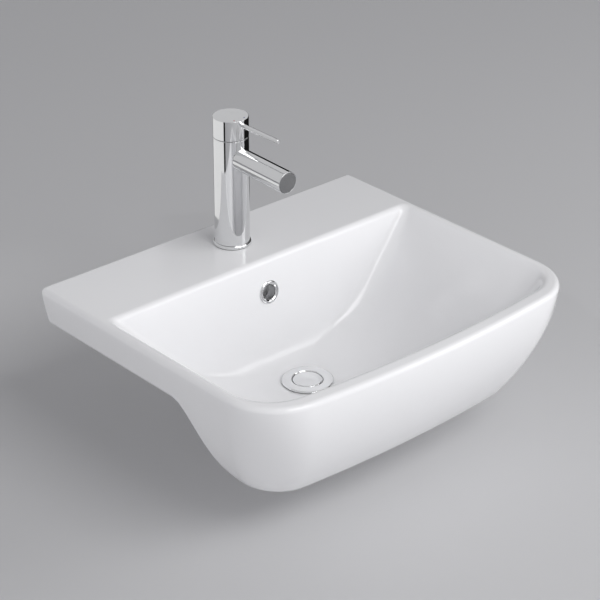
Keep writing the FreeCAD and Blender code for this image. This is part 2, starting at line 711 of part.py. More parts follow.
boss_sketch = closed_sketch(waste_flange, "bar_boss_profile", "XZ_Plane", ring_profile(
    ZERO, s.ClickRadius + 2.5, -s.BarTop - s.BarHeight, -s.BarTop))
bar_boss = waste_flange.newObject("PartDesign::Revolution", "bar_boss")
bar_boss.Profile = boss_sketch
bar_boss.ReferenceAxis = (boss_sketch, ["V_Axis"])
bar_boss.Angle = 360
thread_sketch = closed_sketch(waste_flange, "bar_thread_profile", "XZ_Plane", ring_profile(
    ZERO, s.ClickRadius + 0.05, -s.BarTop - s.BarHeight - 1, 1 - s.BarTop))
bar_thread = waste_flange.newObject("PartDesign::Groove", "bar_thread")
bar_thread.Profile = thread_sketch
bar_thread.ReferenceAxis = (thread_sketch, ["V_Axis"])
bar_thread.Angle = 360
for sketch in (bar_sketch, boss_sketch, thread_sketch):
    sketch.Visibility = False

waste_turned("waste_top_seal", ring_profile(
    s.WasteHoleRadius + 0.5, s.WasteFlangeRadius - 1.2,
    -s.WasteFlangeThickness - s.WasteSealThickness, -s.WasteFlangeThickness))
waste_turned("waste_plug", [
    (ZERO, -s.PlugThickness),
    (s.PlugRadius - 1.2, -s.PlugThickness),
    (s.PlugRadius, -s.PlugThickness + 0.9),
    (s.PlugRadius, -1.0),
    (s.PlugRadius - 0.9, -0.2),
    (s.PlugRadius * 0.72, s.PlugCrown * 0.5),
    (s.PlugRadius * 0.36, s.PlugCrown * 0.88),
    (ZERO, s.PlugCrown),
])
waste_turned("plug_seal", ring_profile(
    s.PlugStemRadius + 6, s.PlugRadius - 0.8, 0.2 - s.PlugSeatDepth, -s.PlugThickness))
waste_turned("plug_stem", [
    (ZERO, -stem_foot),
    (s.ClickChamberRadius - s.RunningGap, -stem_foot),
    (s.ClickChamberRadius - s.RunningGap, s.PlugStemCollar - stem_foot),
    (s.PlugStemRadius, s.PlugStemCollar - stem_foot),
    (s.PlugStemRadius, -s.PlugThickness),
    (ZERO, -s.PlugThickness),
])
waste_turned("click_housing", [
    (ZERO, -s.ClickTop - s.ClickLength),
    (s.ClickRadius, -s.ClickTop - s.ClickLength),
    (s.ClickRadius, -s.BarTop),
    (s.ClickHeadRadius, -s.BarTop),
    (s.ClickHeadRadius, -s.ClickTop),
    (s.PlugStemRadius + s.RunningGap, -s.ClickTop),
    (s.PlugStemRadius + s.RunningGap, -s.ClickTop - s.ClickGuide),
    (s.ClickChamberRadius, -s.ClickTop - s.ClickGuide),
    (s.ClickChamberRadius, s.ClickFloor - s.ClickTop - s.ClickLength),
    (ZERO, s.ClickFloor - s.ClickTop - s.ClickLength),
])


def coil_spring():
    """Wire wound between the stem's foot and the housing's floor."""
    wire = s.SpringWire.value / 2
    low = waste_top.value - s.ClickTop.value - s.ClickLength.value + s.ClickFloor.value + wire
    high = waste_top.value - stem_foot.value - wire
    helix = Part.makeHelix((high - low) / s.SpringTurns.value, high - low, s.SpringRadius.value)
    section = Part.Wire(Part.makeCircle(wire, Vector(s.SpringRadius.value, 0, 0), Vector(0, 1, 0)))
    spring = Part.Wire(helix).makePipeShell([section], True, True)
    spring.translate(Vector(0, waste_y.value, low))
    return spring


click_spring = doc.addObject("Part::Feature", "click_spring")
click_spring.Shape = coil_spring()
sub_part(click_spring, "click_spring")

# washers and nut under the boss, from the top down
tail_bore = s.TailRadius + s.NutClearance
waste_turned("waste_lower_washer", [
    (tail_bore, -lower_washer_end),
    (s.BossRadius - 4, -lower_washer_end),
    (s.BossRadius - 4, 2 - lower_washer_end),
    (s.BossRadius - 8, -boss_depth),
    (tail_bore, -boss_depth),
])
waste_turned("waste_slip_washer", ring_profile(
    tail_bore, s.BossRadius - 6, -slip_washer_end, -lower_washer_end))
nut_low = waste_top - slip_washer_end - s.WasteNutHeight
sub_part(drilled(
    "waste_backnut",
    hexagon("waste_nut_blank", s.WasteNutRadius, s.WasteNutHeight, 0, waste_y, nut_low),
    rod("waste_nut_thread", tail_bore, s.WasteNutHeight + 2, 0, waste_y, nut_low - 1)),
    "waste_backnut")

# ---------------------------------------------------------------------------------------------
# Tap: heights from the deck up
# ---------------------------------------------------------------------------------------------
ring_top = rim_top + s.BaseSealHeight + s.BaseRingHeight


def tap_turned(label, corners, z, y=tap_y):
    return sub_part(turned(label, corners, 0, y, z), label)


tap_turned("tap_base_seal", ring_profile(
    s.SpigotRadius + 1.5, s.BaseRingRadius - 0.8, ZERO, s.BaseSealHeight), rim_top)
tap_turned("tap_base_ring", [
    (s.SpigotRadius + 0.1, ZERO),
    (s.BaseRingRadius, ZERO),
    (s.BaseRingRadius, s.BaseRingHeight * 0.72),
    (s.BaseRingRadius - 0.7, s.BaseRingHeight),
    (s.SpigotRadius + 0.1, s.BaseRingHeight),
], rim_top + s.BaseSealHeight)

spigot_low = rim_top - s.SpigotDepth
spout_z = seam - s.SpoutDrop
spout_turn = (Vector(1, 0, 0), 90 + s.SpoutFall)
fall_rate = as_size(round(math.sin(math.radians(s.SpoutFall.value)), 6))
level_rate = as_size(round(math.cos(math.radians(s.SpoutFall.value)), 6))


def along_spout(distance):
    """Point on the spout's axis, as y and z."""
    return tap_y - distance * level_rate, spout_z - distance * fall_rate


aerator_along = s.SpoutReach - s.AeratorInset
aerator_y, aerator_axis_z = along_spout(aerator_along)
aerator_low = aerator_axis_z - s.SpoutRadius + s.AeratorRecess
chamber_floor = seam - s.ChamberDepth
disc_seat = s.EndRecess - 0.4
end_y, end_z = along_spout(s.SpoutReach - s.EndRecess)
closing_y, closing_z = along_spout(s.SpoutReach - disc_seat)

core_low = ring_top + s.ColumnFloor
column_core = rod("column_core", s.TapRadius - s.ColumnWall, chamber_floor - s.ColumnFloor - core_low,
                  0, tap_y, core_low)
tap_outside = joined(
    "tap_outside",
    rod("tap_column", s.TapRadius, seam - ring_top, 0, tap_y, ring_top),
    rod("tap_spigot", s.SpigotRadius, ring_top - spigot_low + 1, 0, tap_y, spigot_low),
    rod("spout_tube", s.SpoutRadius, s.SpoutReach, 0, tap_y, spout_z, spout_turn))
inlets = []
inlet_tubes = []
for side, name in ((-1, "hot"), (1, "cold")):
    inlet_tubes.append(rod(name + "_tube", s.InletRadius, chamber_floor - core_low,
                           s.InletSpread * side, tap_y + s.InletBack, core_low - 1))
    inlets.append(rod(name + "_inlet", s.InletRadius, s.InletDepth + 1, s.InletSpread * side,
                      tap_y + s.InletBack, spigot_low - 1))
    inlets.append(rod(name + "_way", s.InletRadius - 1.2, chamber_floor - spigot_low + 1,
                      s.InletSpread * side, tap_y + s.InletBack, spigot_low))
sub_part(drilled(
    "tap_body", tap_outside,
    drilled("column_hollow", column_core, *inlet_tubes),
    rod("cartridge_chamber", s.ChamberRadius, s.ChamberDepth + 1, 0, tap_y, chamber_floor),
    rod("spout_way", s.SpoutBoreRadius, aerator_along, 0, tap_y, spout_z, spout_turn),
    rod("end_recess", s.SpoutRadius - s.EndLip, s.EndRecess + 1, 0, end_y, end_z, spout_turn),
    rod("aerator_thread", s.AeratorRadius + 0.05, s.SpoutRadius + 1, 0, aerator_y,
        aerator_axis_z - s.SpoutRadius - 1),
    rod("stud_thread", s.StudRadius + 0.02, s.StudGrip + 1, 0, tap_y - s.StudForward,
        spigot_low - 1),
    *inlets), "tap_body")

sub_part(turned("spout_end_cap", [
    (ZERO, ZERO),
    (s.SpoutRadius - s.EndLip - 0.1, ZERO),
    (s.SpoutRadius - s.EndLip - 0.1, s.EndDiscThickness - 0.3),
    (s.SpoutRadius - s.EndLip - 0.4, s.EndDiscThickness),
    (ZERO, s.EndDiscThickness),
], 0, closing_y, closing_z, spout_turn), "spout_end_cap")

tap_turned("aerator_housing", [
    (s.AeratorBoreRadius - 1.2, ZERO),
    (s.AeratorRadius - 0.5, ZERO),
    (s.AeratorRadius, 0.5),
    (s.AeratorRadius, s.AeratorHeight),
    (s.AeratorBoreRadius, s.AeratorHeight),
    (s.AeratorBoreRadius, 1.2),
    (s.AeratorBoreRadius - 1.2, 1.2),
], aerator_low, aerator_y)


def honeycomb_insert():
    """Flow straightener: a disc with a ring of water holes round a middle one."""
    height = s.AeratorHeight.value - 2.2
    low = Vector(0, aerator_y.value, aerator_low.value + 1.3)
    up = Vector(0, 0, 1)
    disc = Part.makeCylinder(s.AeratorBoreRadius.value - 0.1, height, low, up)
    hole = s.AeratorBoreRadius.value * 0.12
    holes = [Part.makeCylinder(hole, height + 2, low - up, up)]
    for circle, count in ((0.34, 6), (0.68, 12)):
        for step in range(count):
            angle = 2 * math.pi * step / count
            reach = s.AeratorBoreRadius.value * circle
            offset = Vector(reach * math.cos(angle), reach * math.sin(angle), 0)
            holes.append(Part.makeCylinder(hole, height + 2, low - up + offset, up))
    return disc.cut(holes)


aerator_insert = doc.addObject("Part::Feature", "aerator_insert")
aerator_insert.Shape = honeycomb_insert()
sub_part(aerator_insert, "aerator_insert")
tap_turned("aerator_seal", ring_profile(
    s.AeratorBoreRadius - 2, s.AeratorRadius - 0.2, ZERO, 1.4), aerator_low + s.AeratorHeight,
    aerator_y)

# ---------------------------------------------------------------------------------------------
# Cartridge: heights are measured from the seam between body and cap
# ---------------------------------------------------------------------------------------------
def cartridge_turned(label, corners):
    return sub_part(turned(label, corners, 0, tap_y, seam), label)


shoulder = s.CartridgeHeight - s.CartridgeFloor
rotor_bore = s.RotorRadius + s.RunningGap
disc_room = s.FixedDiscRadius + 0.1
disc_low = -s.DiscTop - s.DiscHeight
fixed_disc_low = disc_low - s.DiscHeight
cartridge_turned("cartridge_housing", [
    (6, -s.CartridgeFloor),
    (s.CartridgeWaist, -s.CartridgeFloor),
    (s.CartridgeWaist, s.WaistHeight - s.CartridgeFloor),
    (s.CartridgeRadius, s.WaistHeight - s.CartridgeFloor),
    (s.CartridgeRadius, shoulder),
    (s.NeckRadius, shoulder),
    (s.NeckRadius, -s.NeckTop),
    (rotor_bore, -s.NeckTop),
    (rotor_bore, 0.2 - s.DiscTop),
    (disc_room, 0.2 - s.DiscTop),
    (disc_room, fixed_disc_low),
    (6, fixed_disc_low),
])
cartridge_turned("cartridge_seal", ring_profile(
    s.CartridgeWaist - 4, s.ChamberRadius - 0.3, -s.ChamberDepth, -s.CartridgeFloor))
fixed_disc = cartridge_turned("fixed_disc", ring_profile(
    ZERO, s.FixedDiscRadius, fixed_disc_low, disc_low))
port = s.FixedDiscRadius * 0.4
milled(fixed_disc, "water_ports", "XY_Plane", [
    (-port, -port / 2), (port, -port / 2), (port, port / 2), (-port, port / 2)],
    s.CartridgeFloor * 2)
sub_part(drilled(
    "sliding_disc",
    rod("sliding_blank", s.SlidingDiscRadius, s.DiscHeight - 0.2, 0, tap_y + s.DiscOffset,
        seam + disc_low + 0.1),
    rod("ball_pocket", s.StemBallRadius + 0.4, s.DiscHeight, 0, tap_y,
        seam - s.DiscTop - s.DiscHeight * 0.7)), "sliding_disc")

stem_slot = s.StemRadius + s.SlotPlay / 2
ball_slot = s.StemBallRadius + s.SlotPlay / 2
ball_swing = s.StemArm * as_size(round(math.sin(math.radians(s.LiftAngle.value)), 6))
rotor_low = 0.4 - s.DiscTop
rotor_blank = rod("rotor_blank", s.RotorRadius, s.RotorTop - rotor_low, 0, tap_y, seam + rotor_low)
upper_slot = block("upper_slot", stem_slot * 2, s.RotorRadius + stem_slot + 1,
                   s.BallDepth + s.RotorTop + stem_slot + 1, -stem_slot, tap_y - stem_slot,
                   tilt_centre - stem_slot)
lower_slot = block("lower_slot", ball_slot * 2, ball_swing + ball_slot * 2,
                   tilt_centre - seam - rotor_low + 1, -ball_slot, tap_y - ball_swing - ball_slot,
                   seam + rotor_low - 1)
pin_half = s.RotorRadius - 0.3
sub_part(drilled(
    "cartridge_rotor", rotor_blank, upper_slot, lower_slot,
    rod("pin_hole", s.StemPinRadius + 0.02, s.RotorRadius * 2 + 2, -s.RotorRadius - 1, tap_y,
        tilt_centre, (Vector(0, 1, 0), 90))), "cartridge_rotor")
sub_part(rod("stem_pin", s.StemPinRadius, pin_half * 2, -pin_half, tap_y, tilt_centre,
             (Vector(0, 1, 0), 90)), "stem_pin")
ball_z = tilt_centre - s.StemArm
sub_part(drilled(
    "cartridge_stem",
    joined("stem_blank",
           rod("stem_rod", s.StemRadius, s.StemTop + s.BallDepth, 0, tap_y, tilt_centre),
           ball("stem_hub", s.StemRadius, 0, tap_y, tilt_centre),
           rod("stem_arm", s.StemBallRadius - 0.7, s.StemArm, 0, tap_y, ball_z),
           ball("stem_ball", s.StemBallRadius, 0, tap_y, ball_z)),
    rod("stem_pin_bore", s.StemPinRadius + s.RunningGap, s.RotorRadius * 2, -s.RotorRadius, tap_y,
        tilt_centre, (Vector(0, 1, 0), 90))), "cartridge_stem")

cartridge_turned("cartridge_nut", ring_profile(
    s.NeckRadius + 0.2, s.ChamberRadius - 0.05, shoulder, shoulder + s.CartridgeNutHeight))

# ---------------------------------------------------------------------------------------------
# Domed ring and cap share one sphere about the tilting centre
# ---------------------------------------------------------------------------------------------
def sphere_radius():
    """Sphere through the seam's outer edge, as a sheet formula."""
    value = math.hypot(s.TapRadius.value, s.BallDepth.value)
    return Size(value, "sqrt(Sizes.TapRadius * Sizes.TapRadius + Sizes.BallDepth * Sizes.BallDepth)")


cap_sphere = sphere_radius()
dome_blank = rod("dome_blank", s.TapRadius - s.CapGap, s.BallDepth, 0, tap_y, seam)
dome_limit = doc.addObject("Part::Common", "dome_limit")
dome_limit.Base = dome_blank
dome_limit.Tool = ball("dome_sphere", cap_sphere - s.CapGap, 0, tap_y, tilt_centre)
sub_part(drilled(
    "dome_cover", dome_limit,
    rod("dome_bore", s.DomeBoreRadius, s.BallDepth + 2, 0, tap_y, seam - 1)), "dome_cover")

lever_z = rim_top + s.TapHeight - s.LeverDrop
grub_z = seam + s.GrubHeight
cap_blank = turned("cap_blank", [
    (ZERO, ZERO),
    (s.TapRadius, ZERO),
    (s.TapRadius, s.CapHeight - s.CapEdge),
    (s.TapRadius - s.CapEdge, s.CapHeight),
    (ZERO, s.CapHeight),
], 0, tap_y, seam)
mark_low = seam + s.CapHeight - s.MarkDepth
mark_y = tap_y - s.MarkForward
marks = (("hot", -s.MarkSpread), ("cold", s.MarkSpread))
mark_holes = [rod(name + "_hole", s.MarkRadius + 0.05, s.MarkDepth + 1, across, mark_y, mark_low)
              for name, across in marks]
sub_part(drilled(
    "handle_cap", cap_blank,
    ball("cap_hollow", cap_sphere, 0, tap_y, tilt_centre),
    rod("stem_socket", s.StemRadius + 0.05, s.StemTop + 0.5, 0, tap_y, seam),
    rod("lever_socket", s.LeverRadius + 0.05, s.LeverGrip + 2, 0,
        tap_y - s.TapRadius + s.LeverGrip, lever_z, FORWARD),
    rod("grub_thread", s.GrubRadius + 0.05, s.TapRadius, 0, tap_y + s.TapRadius + 1, grub_z,
        FORWARD),
    *mark_holes), "handle_cap")
sub_part(turned("handle_lever", [
    (ZERO, ZERO),
    (s.LeverRadius, ZERO),
    (s.LeverRadius, s.LeverReach - s.TapRadius + s.LeverGrip - s.LeverEdge),
    (s.LeverRadius - s.LeverEdge, s.LeverReach - s.TapRadius + s.LeverGrip),
    (ZERO, s.LeverReach - s.TapRadius + s.LeverGrip),
], 0, tap_y - s.TapRadius + s.LeverGrip, lever_z, FORWARD), "handle_lever")
sub_part(rod("grub_screw", s.GrubRadius, s.GrubLength, 0,
             tap_y + s.StemRadius + 0.1 + s.GrubLength, grub_z, FORWARD), "grub_screw")
for name, across in marks:
    sub_part(rod(name + "_mark", s.MarkRadius, s.MarkDepth, across, mark_y, mark_low), name + "_mark")

# ---------------------------------------------------------------------------------------------
# Fixings under the deck
# ---------------------------------------------------------------------------------------------
stud_y = tap_y - s.StudForward
sub_part(rod("fixing_stud", s.StudRadius, s.StudGrip + s.StudDrop, 0, stud_y,
             spigot_low - s.StudDrop), "fixing_stud")


def horseshoe(label, height, low):
    """Plate with a round mouth for the supply tails, open to the back."""
    mouth_y = tap_y + s.InletBack
    tools = [
        rod(label + "_mouth", s.HorseshoeMouth, height + 2, 0, mouth_y, low - 1),
        block(label + "_gap", s.HorseshoeMouth * 2, s.HorseshoeRadius * 2, height + 2,
              -s.HorseshoeMouth, mouth_y, low - 1),
        rod(label + "_stud_hole", s.StudRadius + 0.2, height + 2, 0, stud_y, low - 1),
    ]
    blank = rod(label + "_blank", s.HorseshoeRadius, height, 0, tap_y, low)
    return sub_part(drilled(label, blank, *tools), label)


seal_low = deck_underside - s.HorseshoeSealHeight
plate_low = seal_low - s.HorseshoePlateHeight
horseshoe("horseshoe_seal", s.HorseshoeSealHeight, seal_low)
horseshoe("horseshoe_plate", s.HorseshoePlateHeight, plate_low)
nut_z = plate_low - s.FixingNutHeight
sub_part(drilled(
    "fixing_nut",
    hexagon("fixing_nut_blank", s.FixingNutRadius, s.FixingNutHeight, 0, stud_y, nut_z),
    rod("fixing_nut_thread", s.StudRadius + 0.05, s.FixingNutHeight + 2, 0, stud_y, nut_z - 1)),
    "fixing_nut")

# ---------------------------------------------------------------------------------------------
# Check every object, then write one file for each sub-part
# ---------------------------------------------------------------------------------------------
doc.recompute()
for thing in doc.Objects:
    if "Invalid" in thing.State or "Error" in thing.State:
        raise RuntimeError("%s failed: %s" % (thing.Name, thing.State))
for part in sub_parts:
    if part.Shape.isNull() or not part.Shape.isValid() or part.Shape.Volume <= 0:
        raise RuntimeError("%s has no valid solid" % part.Label)

os.makedirs("parts", exist_ok=True)
for part in sub_parts:
    part.Shape.exportStep("parts/%s.step" % part.Label)
    print("%-20s %2d solid %10.1f mm3" % (part.Label, len(part.Shape.Solids), part.Shape.Volume))
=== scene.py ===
"""Semi recessed basin with a single lever mixer tap and a click waste: the dressed model.

Lengths are metres in the row frame: +X right seen from the front, -Y to the user, +Z up, y = 0 at
the wall and z = 0 at worktop level.  The sizes in the property groups are metres as well, and
repeat the driving dimensions of the solids.
"""
import math

import bmesh
import bpy
import numpy as np
from bpy.props import FloatProperty, FloatVectorProperty, IntProperty, PointerProperty
from mathutils import Matrix, Vector


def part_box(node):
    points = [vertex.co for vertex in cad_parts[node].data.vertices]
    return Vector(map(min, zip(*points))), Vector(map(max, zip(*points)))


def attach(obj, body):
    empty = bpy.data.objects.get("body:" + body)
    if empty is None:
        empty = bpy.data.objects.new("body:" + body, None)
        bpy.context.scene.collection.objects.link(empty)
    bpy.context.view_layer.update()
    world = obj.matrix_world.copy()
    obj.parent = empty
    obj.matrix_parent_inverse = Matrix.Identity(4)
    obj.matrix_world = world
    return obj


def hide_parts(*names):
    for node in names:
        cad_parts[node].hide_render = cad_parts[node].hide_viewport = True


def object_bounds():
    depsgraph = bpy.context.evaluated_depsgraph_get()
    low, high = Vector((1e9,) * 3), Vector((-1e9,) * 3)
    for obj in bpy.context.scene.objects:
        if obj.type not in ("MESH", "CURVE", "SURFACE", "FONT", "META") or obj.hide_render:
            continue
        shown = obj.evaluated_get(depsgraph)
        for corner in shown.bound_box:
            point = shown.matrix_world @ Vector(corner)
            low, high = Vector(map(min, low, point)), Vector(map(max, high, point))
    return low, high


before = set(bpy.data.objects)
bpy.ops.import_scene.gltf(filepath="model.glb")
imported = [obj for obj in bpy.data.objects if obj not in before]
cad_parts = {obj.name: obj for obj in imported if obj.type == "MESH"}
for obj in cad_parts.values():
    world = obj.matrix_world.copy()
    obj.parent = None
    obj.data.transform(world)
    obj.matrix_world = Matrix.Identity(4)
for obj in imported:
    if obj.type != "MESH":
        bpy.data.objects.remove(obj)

bl_info = {
    "name": "Semi recessed basin",
    "version": (1, 0, 0),
    "blender": (4, 5, 0),
    "location": "View3D > Sidebar > Basin",
    "description": "Builds the clay body, tap, waste and studio of a semi recessed basin",
    "category": "Object",
}

MM = 0.001
FIT = 0.05 * MM
NUT_SLOPE, STUD_THREAD = 0.58, 0.6 * MM
SHARP, FINE_SHARP = math.radians(38), math.radians(25)
UP, FORWARD = Vector((0, 0, 1)), Vector((0, -1, 0))
CAD_BOX = [list(corner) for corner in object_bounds()]
RING_LOW, RING_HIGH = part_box("tap_base_ring")
TAIL_LOW, TAIL_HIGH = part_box("waste_flange")
NUT_LOW, NUT_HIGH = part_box("waste_backnut")


def length(name, default, text):
    """A length that a user may change, in metres."""
    return FloatProperty(name=name, description=text, default=default, unit="LENGTH", precision=4)


def colour(name, default, text):
    """A linear colour that a user may change."""
    return FloatVectorProperty(name=name, description=text, default=default, subtype="COLOR",
                               size=3, min=0.0, max=1.0)


class BASIN_PG_clay(bpy.types.PropertyGroup):
    """Sizes of the clay body."""
    width: length("Width", CAD_BOX[1][0] - CAD_BOX[0][0], "Overall width of the rim")
    depth: length("Depth", -CAD_BOX[0][1], "Wall to the middle of the front")
    rim_height: length("Rim height", 0.054, "Rim top to the worktop")
    bow_radius: length("Front bow", 1.8, "Plan radius of the bowed front edge")
    back_corner: length("Back corner", 0.008, "Plan radius of the two back corners")
    front_corner: length("Front corner", 0.075, "Plan radius of the two front corners")
    front_corner_loss: length("Front corner loss", 0.027, "Shrink of that radius down the wall")
    rim_edge: length("Rim edge", 0.007, "Rounding of the rim's outer edge")
    low_edge: length("Low edge", 0.009, "Rounding of the skin's lower edge")
    side_taper: length("Side taper", 0.0645, "How far each side draws in down to the underside")
    front_taper: length("Front taper", 0.0663, "How far the front draws in down to the underside")
    wall: length("Wall", 0.011, "Thickness of the skin and of the bowl")
    deck: length("Deck", 0.014, "Thickness of the deck around the tap hole")
    notch_start: length("Drop start", 0.248, "Wall to where the underside starts to drop")
    notch_reach: length("Drop reach", 0.036, "Forward reach of the drop's upper curve")
    notch_drop: length("Drop depth", 0.062, "Depth of the drop's upper curve")
    notch_toe: length("Drop toe", 0.039, "Forward reach of the drop's lower curve")
    ledge: length("Ledge", 0.040, "Width of the rim's underside on the worktop")
    back_ledge: length("Back ledge", 0.030, "Depth of that ledge along the wall")


class BASIN_PG_bowl(bpy.types.PropertyGroup):
    """Sizes of the bowl and its holes."""
    depth: length("Depth", 0.143, "Rim top to the bowl's floor")
    apron: length("Apron", 0.018, "Bowl's floor to the underside of the apron")
    side_rim: length("Side rim", 0.0115, "Side to the bowl's side wall, at the rim top")
    back: length("Back", 0.1275, "Wall to the bowl's back wall, at the rim top")
    front_rim: length("Front rim", 0.023, "Front to the bowl's front wall, at the rim top")
    back_corner: length("Back corner", 0.012, "Plan radius of the back corners at the rim")
    back_corner_gain: length("Back corner gain", 0.030, "Growth of that radius to the floor")
    front_corner: length("Front corner", 0.062, "Plan radius of the front corners at the rim")
    front_corner_loss: length("Front corner loss", 0.016, "Loss of that radius to the floor")
    waste_back: length("Waste", 0.2078, "Wall to the waste")
    waste_hole: length("Waste hole", 0.023, "Radius of the hole in the clay")
    boss: length("Boss", 0.038, "Radius of the waste boss")
    boss_height: length("Boss height", 0.022, "Clay below the floor at the waste")
    overflow_drop: length("Overflow", 0.0442, "Rim top to the middle of the overflow")
    overflow_hole: length("Overflow hole", 0.0125, "Radius of the overflow hole")
    duct_half: length("Duct", 0.014, "Half the width of the overflow duct")
    duct_depth: length("Duct depth", 0.013, "Front to back size of the duct")
    duct_wall: length("Duct wall", 0.009, "Clay around the duct")
    tap_back: length("Tap", 0.0616, "Wall to the tap's axis")
    tap_hole: length("Tap hole", 0.0175, "Radius of the tap hole")


class BASIN_PG_waste(bpy.types.PropertyGroup):
    """Sizes of the waste, measured down from the flange's top, and of the overflow's trim."""
    flange: length("Flange", 0.0337, "Radius of the visible flange")
    flange_thickness: length("Flange thickness", 0.0022, "Height of the flange over its seal")
    seat: length("Seat", 0.02015, "Radius of the plug's seat")
    seat_depth: length("Seat depth", 0.0062, "Flange top to the seat")
    shoulder: length("Shoulder", 0.0223, "Radius of the shoulder in the clay's hole")
    shoulder_depth: length("Shoulder depth", 0.0075, "Flange top to the shoulder's end")
    tail: length("Tail", 0.02095, "Outside of the thread")
    tail_bore: length("Tail bore", 0.017, "Inside of the tail")
    slot_top: length("Slot top", 0.0084, "Flange top to the overflow slots")
    slot_height: length("Slot height", 0.008, "Height of the overflow slots")
    slot_width: length("Slot width", 0.022, "Width of the overflow slots")
    thread_start: length("Thread start", 0.0262, "Flange top to the thread")
    pitch: length("Pitch", 0.002309, "Pitch of the thread")
    thread_depth: length("Thread depth", 0.0011, "Depth of the thread")
    bar_top: length("Bar top", 0.018, "Flange top to the cross bar")
    bar_height: length("Bar height", 0.006, "Height of the cross bar")
    bar_width: length("Bar width", 0.008, "Width of the cross bar")
    bar_boss: length("Bar boss", 0.0075, "Radius of the boss in the bar's middle")
    bar_bore: length("Bar bore", 0.00505, "Radius of the hole in that boss")
    plug: length("Plug", 0.01925, "Radius of the plug cap")
    plug_thickness: length("Plug thickness", 0.0034, "Edge of the plug cap")
    plug_crown: length("Plug crown", 0.0008, "Rise of the plug cap's middle")
    nut: length("Nut", 0.030, "Corners of the clamping nut")
    overflow_ring: length("Overflow ring", 0.0155, "Outside of the trim ring")
    overflow_bore: length("Overflow bore", 0.0102, "Inside of the trim ring")
    overflow_sleeve: length("Overflow sleeve", 0.0113, "Outside of the ring's sleeve")
    overflow_tail: length("Sleeve length", 0.012, "Length of the ring's sleeve")
    overflow_lip: length("Overflow lip", 0.0024, "How far the ring stands off the glaze")


class BASIN_PG_tap(bpy.types.PropertyGroup):
    """Sizes of the tap and its handle."""
    radius: length("Radius", 0.0228, "Tap body and cap")
    seam: length("Seam", 0.2035, "Worktop to the seam under the cap")
    top: length("Top", 0.231, "Worktop to the top of the cap")
    tilt: length("Tilt centre", 0.1835, "Worktop to the lever's tilting centre")
    spout_radius: length("Spout radius", 0.0144, "Outside of the spout")
    spout_height: length("Spout height", 0.178, "Worktop to the spout's axis at the tap's axis")
    spigot: length("Spigot", 0.0164, "Spigot in the deck's hole")
    spigot_depth: length("Spigot depth", 0.009, "Spigot below the deck's surface")
    chamber: length("Chamber", 0.018, "Radius of the cartridge chamber")
    chamber_depth: length("Chamber depth", 0.050, "Seam to the chamber's floor")
    inlet: length("Inlet", 0.0046, "Radius of the threaded inlets")
    inlet_depth: length("Inlet depth", 0.015, "Depth of the inlets")
    inlet_spread: length("Inlet spread", 0.008, "Middle to each inlet")
    inlet_back: length("Inlet back", 0.004, "Tap axis back to the inlets")
    stud: length("Stud", 0.004, "Radius of the fixing stud")
    stud_pitch: length("Stud pitch", 0.00125, "Pitch of the stud's thread")
    stud_forward: length("Stud forward", 0.009, "Tap axis forward to the stud")
    stud_grip: length("Stud grip", 0.019, "Depth of the stud's hole")
    spout_reach: length("Spout reach", 0.108, "Tap axis to the spout's end")
    spout_fall: FloatProperty(name="Spout fall", description="Slope of the spout",
                              default=math.radians(1.5), subtype="ANGLE")
    lip: length("End lip", 0.0009, "Lip around the spout's end disc")
    end_recess: length("End recess", 0.003, "Depth of the recess in the spout's end")
    end_disc: length("End disc", 0.0024, "Thickness of the end disc")
    spout_bore: length("Spout bore", 0.008, "Radius of the water way")
    aerator: length("Aerator", 0.0085, "Radius of the aerator")
    aerator_bore: length("Aerator bore", 0.007, "Inside of the aerator")
    aerator_inset: length("Aerator inset", 0.0165, "Spout's end to the aerator's axis")
    dome_bore: length("Dome opening", 0.0144, "Opening of the domed ring")
    cap_gap: length("Cap gap", 0.0005, "Gap between the cap and the domed ring")
    cap_edge: length("Cap edge", 0.0005, "Bevel of the cap's edge")
    stem: length("Stem", 0.004, "Radius of the stem")
    socket_depth: length("Socket", 0.0235, "Seam up to the end of the stem's socket")
    lever_grip: length("Lever grip", 0.008, "Lever inside the cap")
    grub: length("Set screw", 0.0025, "Radius of the set screw")
    grub_key: length("Set screw key", 0.00145, "Corner radius of the screw's socket")
    grub_height: length("Set screw height", 0.0155, "Seam to the set screw")
    mark: length("Mark", 0.001, "Radius of the hot and cold marks")
    mark_depth: length("Mark depth", 0.0016, "Length of a mark's pin")
    lever_radius: length("Lever radius", 0.0029, "Lever rod")
    lever_reach: length("Lever reach", 0.091, "Tap axis to the lever's tip")
    lever_height: length("Lever height", 0.2244, "Worktop to the lever's axis")


class BASIN_PG_finish(bpy.types.PropertyGroup):
    """Colours of the finishes."""
    glaze: colour("Glaze", (0.80, 0.80, 0.81), "White glaze")
    clay: colour("Bare clay", (0.68, 0.64, 0.58), "Clay where the glaze was wiped off")
    chrome: colour("Chrome", (0.78, 0.785, 0.79), "Polished chrome")
    brass: colour("Brass", (0.62, 0.46, 0.20), "Turned brass")
    steel: colour("Steel", (0.52, 0.52, 0.50), "Zinc plated steel")
    rubber: colour("Rubber", (0.020, 0.020, 0.022), "Black rubber")
    foam: colour("Foam", (0.045, 0.045, 0.046), "Foam rubber")
    white_plastic: colour("White plastic", (0.66, 0.67, 0.66), "Cartridge and water ways")
    dark_plastic: colour("Dark plastic", (0.045, 0.060, 0.095), "Turning carrier")
    ceramic: colour("Ceramic", (0.72, 0.70, 0.65), "The two discs")
    hot: colour("Hot mark", (0.45, 0.03, 0.025), "Red resin of the hot mark")
    cold: colour("Cold mark", (0.05, 0.09, 0.30), "Blue resin of the cold mark")


